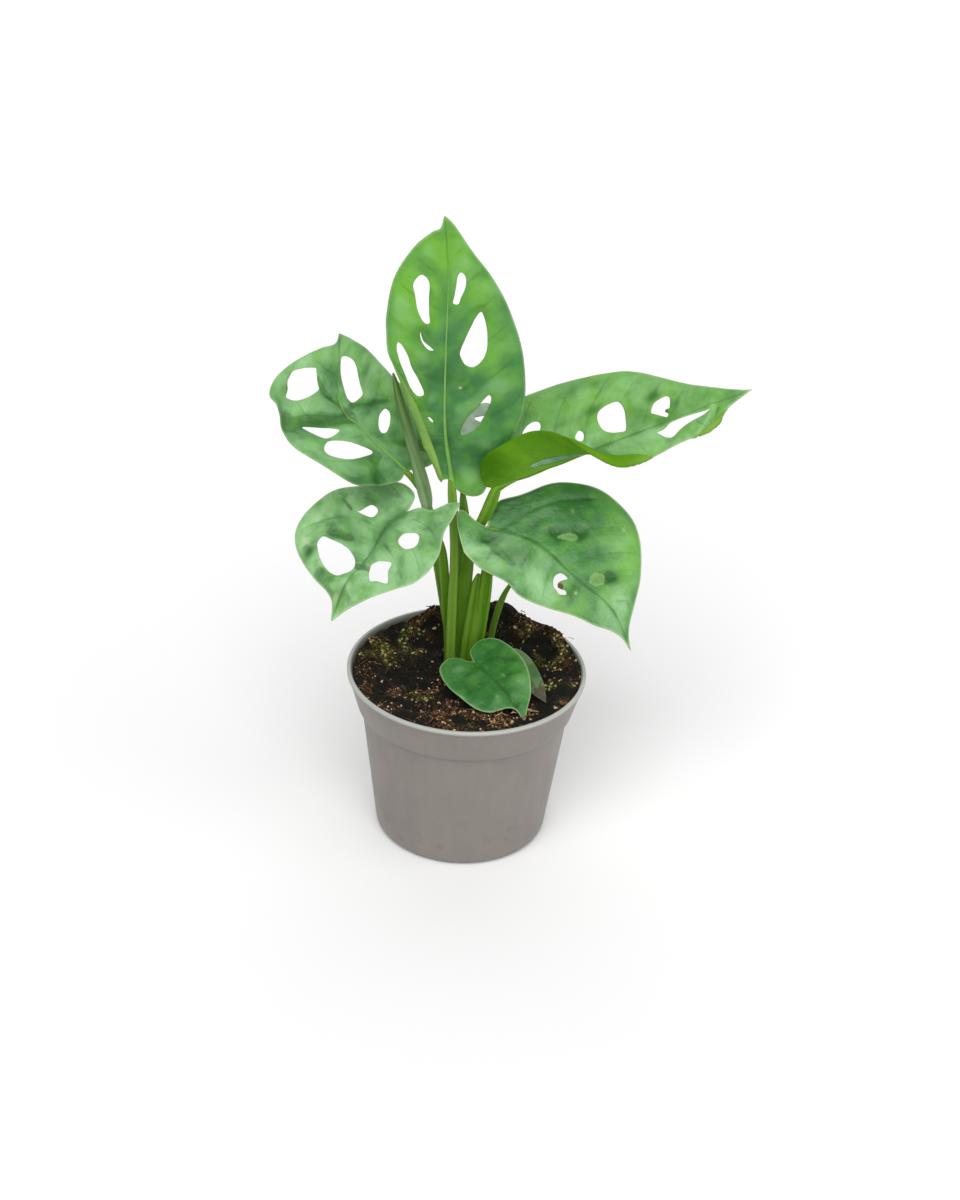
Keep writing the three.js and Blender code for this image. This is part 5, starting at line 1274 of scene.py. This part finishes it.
def stem_material(name, colours, rough):
    """A juicy stem: smooth skin with fine lengthwise streaks, paler lips beside its channel, and painted
    shade in the channel.
    """
    material, add = new_material(name)
    deep, light, bright, dull = (linear(c) for c in colours)
    shade = darker(deep, 0.45)
    streaks = leafy(add, 0.8, 3, (1, 0.05, 1))
    bands = leafy(add, 1.6, 2, (1, 0.03, 1))
    clouds = leafy(add, 7, 2, (1, 0.5, 1))
    along, tone, channel, lip, seam = (add("ShaderNodeAttribute", attribute_name=key) for key in (
        "along", "tone", "channel", "lip", "seam"))
    colour = coated(
        add, deep, (tone, light), (add("map", bands, 0.4, 0.65, 0.0, 0.55), bright),
        (add("map", streaks, 0.5, 0.75, 0.0, 0.35), light), (add("map", clouds, 0.5, 0.75, 0.0, 0.35), shade),
        # The darker green in the channel is painted shade.
        (add("MULTIPLY", channel, 0.2), shade), (add("MULTIPLY", lip, 0.4), light),
        (add("MULTIPLY", seam, 0.45), dull), (add("map", along, 0.12, 0.0, 0.0, 0.4), dull))
    skin = add("ShaderNodeBsdfPrincipled", {
        "Base Color": colour, "Roughness": add("map", streaks, 0.2, 0.8, rough - 0.06, rough + 0.08),
        "Normal": add("bump", streaks, 0.4, 0.0003), "IOR": 1.45, "Specular IOR Level": 0.18,
        "Subsurface Weight": 0.15, "Subsurface Radius": (0.0012, 0.0015, 0.0004), "Subsurface Scale": 1.0})
    surfaced(add, skin, add("mix", 0.6, colour, bright), 0.15)
    return material


def pot_material(name, colours):
    """Thin recycled polypropylene, moulded: an even grey with soft flow streaks and a silky shine, a lip
    painted paler as a painted highlight, and painted shade on the inner wall.
    """
    material, add = new_material(name)
    body, streak_and_lip_highlight, earth, inner_wall_shade = (linear(c) for c in colours)
    where = add("ShaderNodeTexCoord").outputs["Object"]
    high = add("ShaderNodeSeparateXYZ", where).outputs["Z"]
    clouds, streaks, grain = solid(add, 14, 3), solid(add, 3, 3, (1, 1, 0.12)), solid(add, 0.35, 2)
    top = POT["height"]
    band_foot = top - POT["band_height"]
    # The lip's paler grey is a painted highlight.
    lip = add("map", high, (top - POT["lip_height"]) * MM, (top - 0.3) * MM)
    dirt = add("MULTIPLY", add("map", solid(add, 5, 5), 0.54, 0.7), add("map", high, 0.0, 0.02, 0.2, 0.05))
    # Inside, the wall is darkened with painted shade from the soil's level up to near the rim, less towards
    # the rim.
    level = add("ShaderNodeVectorMath", where, (1, 1, 0), operation="MULTIPLY")
    radius = add("ShaderNodeVectorMath", level, operation="LENGTH").outputs["Value"]
    ends = [(inner_radius(z) + 0.3) * MM for z in (band_foot, top)]
    boundary = add("map", high, band_foot * MM, top * MM, *ends, interpolation_type="LINEAR")
    inside = add("MULTIPLY", add("LESS_THAN", radius, boundary),
                 add("GREATER_THAN", high, (band_foot + 0.4) * MM))
    peat_and_wall_shade = add("MULTIPLY", inside, add("map", high, (top - 6) * MM, (top - 0.4) * MM, 0.95, 0.5))
    colour = coated(
        add, body, (add("map", clouds, 0.3, 0.7, 0.0, 0.3), darker(body, 0.88)),
        (add("map", streaks, 0.4, 0.75, 0.0, 0.03), streak_and_lip_highlight), (add("MULTIPLY", lip, 0.6), streak_and_lip_highlight), (dirt, earth),
        (peat_and_wall_shade, inner_wall_shade))
    skin = add("ShaderNodeBsdfPrincipled", {
        "Base Color": colour, "Roughness": add("map", clouds, 0.2, 0.8, 0.38, 0.5), "IOR": 1.49,
        "Normal": add("bump", streaks, 0.04, 0.0003, add("bump", grain, 0.15, 0.00008))})
    surfaced(add, skin)
    return material


def earth_material(name, stops, rough=0.95, crusts=()):
    """Peat and grit: matt, nearly black where it is damp, with redder and paler grains and crusts."""
    material, add = new_material(name)
    tint = add("ShaderNodeAttribute", attribute_name="tint")
    mixed = add("ADD", tint, add("map", solid(add, 2.2, 4), 0.35, 0.65, -0.12, 0.12), use_clamp=True)
    ramp = add("ShaderNodeValToRGB", mixed)
    ramp.color_ramp.elements.remove(ramp.color_ramp.elements[0])
    for k, (place, colour) in enumerate(stops):
        stop = ramp.color_ramp.elements.new(place) if k else ramp.color_ramp.elements[0]
        stop.position, stop.color = place, linear(colour)
    coats = []
    for where, hue, width in crusts:
        crust = add("map", solid(add, width, 6), 0.5, 0.62)
        spread = add("ShaderNodeAttribute", attribute_name=where)
        coats.append((add("MULTIPLY", spread, crust), linear(hue)))
    skin = add("ShaderNodeBsdfPrincipled", {
        "Base Color": coated(add, ramp, *coats), "Roughness": rough, "Specular IOR Level": 0.25,
        "Normal": add("bump", solid(add, 0.5, 3), 0.6, 0.0003)})
    surfaced(add, skin)
    return material


def board_material(name, colour, rough):
    """Matt painted board, with the faintest cloudiness."""
    material, add = new_material(name)
    share = add("map", solid(add, 300, 2), 0.3, 0.7, 0.0, 0.02)
    shade = add("mix", share, list(colour[:3]) + [1.0], linear("808080"))
    surfaced(add, add("ShaderNodeBsdfPrincipled", {"Base Color": shade, "Roughness": rough}))
    return material


BLADE_SLOTS = {name: "leaf_blade" for name in BLADES} | {"leaf_small_side": "dull_leaf"}


class BladeSettings(bpy.types.PropertyGroup):
    thickness: bpy.props.FloatProperty(
        name="Thickness", description="Thickness of a blade in its middle", default=0.00045, unit="LENGTH")
    pitch: bpy.props.FloatProperty(
        name="Mesh size", description="Size of the triangles of a blade", default=0.0007, unit="LENGTH")
    gloss: bpy.props.FloatProperty(
        name="Roughness", description="Roughness of the waxy upper face", default=0.42, subtype="FACTOR")


class SoilSettings(bpy.types.PropertyGroup):
    clods: bpy.props.FloatProperty(
        name="Clods", description="How lumpy the soil is", default=1.0, subtype="FACTOR")
    seed: bpy.props.IntProperty(name="Seed", description="Another scatter of crumbs", default=11)


class PotSettings(bpy.types.PropertyGroup):
    sides: bpy.props.IntProperty(name="Sides", description="Facets round the pot", default=160)


class StageSettings(bpy.types.PropertyGroup):
    floor: bpy.props.FloatVectorProperty(
        name="Floor", description="Colour of the floor", default=(0.92, 0.92, 0.92), subtype="COLOR")
    light: bpy.props.FloatProperty(
        name="Light", description="Strength of the sky", default=0.34, subtype="FACTOR")


class BuildPot(bpy.types.Operator):
    """Makes the pot, with its rim, band and drain holes."""
    bl_idname = "vine.build_pot"
    bl_label = "Pot"

    def execute(self, context):
        # The second colour serves the flow streaks and the painted highlight on the lip, and the last the
        # painted shade on the inner wall.
        grey = pot_material("moulded_polypropylene", ("7f7872", "c6cdc6", "33291f", "3a4236"))
        finish_piece(pot_piece(context.scene.vine_pot.sides), grey, "pot_plastic", "pot")
        return {"FINISHED"}


class BuildSoil(bpy.types.Operator):
    """Makes the soil and scatters its crumbs, clods, white grit and moss."""
    bl_idname = "vine.build_soil"
    bl_label = "Soil"

    def execute(self, context):
        settings = context.scene.vine_soil
        peat_and_wall_shade = earth_material(
            "damp_peat", ((0, "0d0e08"), (0.6, "14140c"), (1, "262015")),
            crusts=(("crumbly", "40291c", 1.8), ("crumbly", "74583c", 0.7), ("mossy", "4f5c1c", 1.3),
                    ("mossy", "8b9642", 0.6)))
        soil = soil_piece(70, 220, settings.clods)
        finish_piece(soil, peat_and_wall_shade, "potting_soil", "soil")
        crumbs = scatter_tree("crumbs", 0.0009)
        fibres = scatter_tree("fibres", 0.002, True)
        grit = scatter_tree("grit", 0.0002)
        surface = soil_top()
        # Name, shape, where it lies, how many on a square metre, radii, detail, seed and looks.
        kinds = (
            ("soil_clods", crumbs, "crumbly", 26000, 0.0005, 0.0013, 2, 1, earth_material(
                "peat_clods", ((0, "14110b"), (0.5, "2a2016"), (0.8, "4d3021"), (1, "6b4832")),
                crusts=(("tint", "8f7150", 0.5),))),
            ("soil_crumbs", crumbs, "crumbly", 3000000, 0.00016, 0.0005, 1, 2, earth_material(
                "peat_crumbs", ((0, "0f0d08"), (0.45, "241b12"), (0.72, "47331f"), (0.88, "6a442e"),
                                (0.95, "9c7d57"), (1, "cbb184")))),
            ("soil_dust", crumbs, "crumbly", 1900000, 0.0001, 0.0003, 1, 5, earth_material(
                "peat_dust", ((0, "120f0a"), (0.5, "2c2216"), (0.8, "4f3c26"), (0.94, "937950"),
                              (1, "d6c193")))),
            ("root_fibres", fibres, "crumbly", 160000, 0.0008, 0.0032, 1, 6, earth_material(
                "root_fibres", ((0, "2c1b11"), (0.5, "5d3a26"), (0.85, "8c6241"), (1, "b99a6c")))),
            ("white_grit", grit, "crumbly", 40000, 0.00012, 0.0003, 1, 3, earth_material(
                "perlite_grit", ((0, "cfcabd"), (1, "f1efe8")), 0.8)),
            ("moss_tufts", crumbs, "mossy", 1600000, 0.0002, 0.0005, 1, 4, earth_material(
                "green_moss", ((0, "1f260c"), (0.35, "46521a"), (0.7, "6f8028"), (1, "b0b870")))),
        )
        for name, tree, where, density, low, high, detail, seed, material in kinds:
            piece = scattered(name, surface, tree, **{
                "Per square metre": float(density), "Smallest": low, "Largest": high, "Detail": detail,
                "Seed": settings.seed + seed, "Sink": 0.1, "Where": where, "Material": material})
            finish_piece(piece, material, "potting_soil")
        return {"FINISHED"}


class BuildBlades(bpy.types.Operator):
    """Makes the leaf blades."""
    bl_idname = "vine.build_blades"
    bl_label = "Leaf blades"

    def execute(self, context):
        settings = context.scene.vine_blades
        # The third colour of each blade finish is the pale of its painted sheen.
        fresh = blade_material(
            "waxy_fresh_blade", ("307a34", "6ab01c", "9ed292", "c3dba4", "4a8600", "6b4a2a"), settings.gloss)
        dull = blade_material(
            "old_dull_blade", ("547a44", "6f8a58", "949f78", "a8b08c", "6a7654", "574e3a"), 0.6)
        films = {"grey": film_material("dried_grey_film", ("86a086", "a2b8a2")),
                 # The pale blue-green film is painted light: the lit face of the curled blade seen through
                 # its slit.
                 "painted_lit_face": film_material("painted_lit_face_film", ("6f9f7c", "93bf93"))}
        for name in BLADES:
            slot = BLADE_SLOTS[name]
            piece = blade_piece(name, settings.pitch / MM, settings.thickness / MM)
            finish_piece(piece, dull if slot == "dull_leaf" else fresh, slot, name)
            for points, kind in BLADE_LOOKS[name].get("films", []):
                finish_piece(film_piece(name, points, 0.12), films[kind], slot)
        return {"FINISHED"}


# The strand that carries the blade, where it isn't the first.
CARRIERS = {"leaf_right_petiole": 1}


def into_blade(strand, blade):
    """The strand with a tapering end that runs on under the blade as its midrib."""
    ways = bent(blade, np.zeros(3), np.array([0.4, 3.5, 8.0]))
    normal = blade_axes(blade)[2]
    tail = [list(p - normal * sink) for p, sink in zip(ways, (0.75, 0.55, 0.3))]
    route = strand["route"] + tail
    whole = np.concatenate([[0], np.cumsum([math.dist(a, b) for a, b in zip(route[:-1], route[1:])])])
    share = whole[len(strand["route"]) - 1] / whole[-1]
    made = strand | {"route": route}
    for key in ("width", "depth"):
        keys = [[at * share, value] for at, value in strand[key]]
        made[key] = keys[:-1] + [[share, keys[-1][1] * 0.95], [1 - 0.5 * (1 - share), 0.6], [1, 0.2]]
    return made


class BuildStems(bpy.types.Operator):
    """Makes the petioles with their sheaths, and the rolled young leaf."""
    bl_idname = "vine.build_stems"
    bl_label = "Stems"

    def execute(self, context):
        green = stem_material("smooth_petiole", ("447c02", "86ac48", "78a608", "7a6a3a"), 0.42)
        rolled = stem_material("rolled_blade", ("3f6a1c", "90ae80", "6a9440", "4a5c2c"), 0.5)
        for name, strands in STEMS.items():
            looks, slot = (rolled, "rolled_leaf") if name == "new_leaf_rolled" else (green, "petiole")
            blade = BLADES.get(name.replace("_petiole", ""))
            for k, strand in enumerate(strands):
                if blade and k == CARRIERS.get(name, 0):
                    strand = into_blade(strand, blade)
                finish_piece(strand_piece(name + "_strand_%d" % (k + 1), strand), looks, slot, name)
        return {"FINISHED"}


class BuildStage(bpy.types.Operator):
    """Makes the floor, the lights and the camera."""
    bl_idname = "vine.build_stage"
    bl_label = "Stage"

    def execute(self, context):
        scene, settings = context.scene, context.scene.vine_stage
        reach, level = 20000, -0.3
        corners = [(-reach, -reach, level), (reach, -reach, level), (reach, reach, level),
                   (-reach, reach, level)]
        floor = new_object("floor", corners, [(0, 1, 2, 3)], False)
        floor.data.materials.append(board_material("matt_white_board", settings.floor, 0.9))
        world = bpy.data.worlds.new("soft_sky")
        world.use_nodes = True
        world.node_tree.nodes.clear()
        sky = node(world.node_tree, "ShaderNodeBackground", (1, 1, 1, 1), settings.light)
        node(world.node_tree, "ShaderNodeOutputWorld", sky)
        scene.world = world
        for name, place, angle, power in (("key_light", (-120, -650, 850), 45, 2.05),
                                          ("fill_light", (600, -400, 450), 70, 0.9),
                                          ("back_light", (0, 700, 600), 70, 0.62)):
            lamp = bpy.data.lights.new(name, "SUN")
            lamp.angle, lamp.energy = math.radians(angle), power
            made = link_object(name, lamp)
            made.location = Vector(place) * MM
            made.rotation_euler = Vector(place).to_track_quat("Z", "Y").to_euler()
        camera = bpy.data.cameras.new("camera")
        camera.lens, camera.sensor_width = FOCAL_LENGTH, SENSOR
        eye = link_object("camera", camera)
        down, roll = math.radians(CAMERA_ELEVATION), math.radians(CAMERA_ROLL)
        forward = Vector((0, math.cos(down), -math.sin(down)))
        right = Vector((1, 0, 0))
        up = right.cross(forward)
        turned = (math.cos(roll) * right + math.sin(roll) * up, -math.sin(roll) * right + math.cos(roll) * up)
        facing = Matrix((turned[0], turned[1], -forward)).transposed().to_4x4()
        place = (Vector(CAMERA_TARGET) - CAMERA_DISTANCE * forward) * MM
        eye.matrix_world = Matrix.Translation(place) @ facing
        scene.camera = eye
        scene.view_settings.view_transform = "Standard"
        return {"FINISHED"}


class VinePanel(bpy.types.Panel):
    """Lists the pieces of the plant and their settings."""
    bl_idname = "VIEW3D_PT_vine"
    bl_label = "Potted Vine"
    bl_space_type = "VIEW_3D"
    bl_region_type = "UI"
    bl_category = "Potted Vine"

    def draw(self, context):
        groups = {BuildPot: "vine_pot", BuildSoil: "vine_soil", BuildBlades: "vine_blades",
                  BuildStage: "vine_stage"}
        for operator in OPERATORS:
            box = self.layout.box()
            box.operator(operator.bl_idname)
            if operator in groups:
                settings = getattr(context.scene, groups[operator])
                for name in settings.__annotations__:
                    box.prop(settings, name)


SETTINGS = {"vine_pot": PotSettings, "vine_soil": SoilSettings, "vine_blades": BladeSettings,
            "vine_stage": StageSettings}
OPERATORS = (BuildPot, BuildSoil, BuildBlades, BuildStems, BuildStage)


def register():
    for kind in (*SETTINGS.values(), *OPERATORS, VinePanel):
        bpy.utils.register_class(kind)
    for name, kind in SETTINGS.items():
        setattr(bpy.types.Scene, name, bpy.props.PointerProperty(type=kind))


def unregister():
    for name in SETTINGS:
        delattr(bpy.types.Scene, name)
    for kind in reversed((*SETTINGS.values(), *OPERATORS, VinePanel)):
        bpy.utils.unregister_class(kind)


def main():
    register()
    bpy.ops.vine.build_pot()
    bpy.ops.vine.build_soil()
    bpy.ops.vine.build_blades()
    bpy.ops.vine.build_stems()
    bpy.ops.vine.build_stage()
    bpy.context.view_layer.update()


if __name__ == "__main__":
    main()
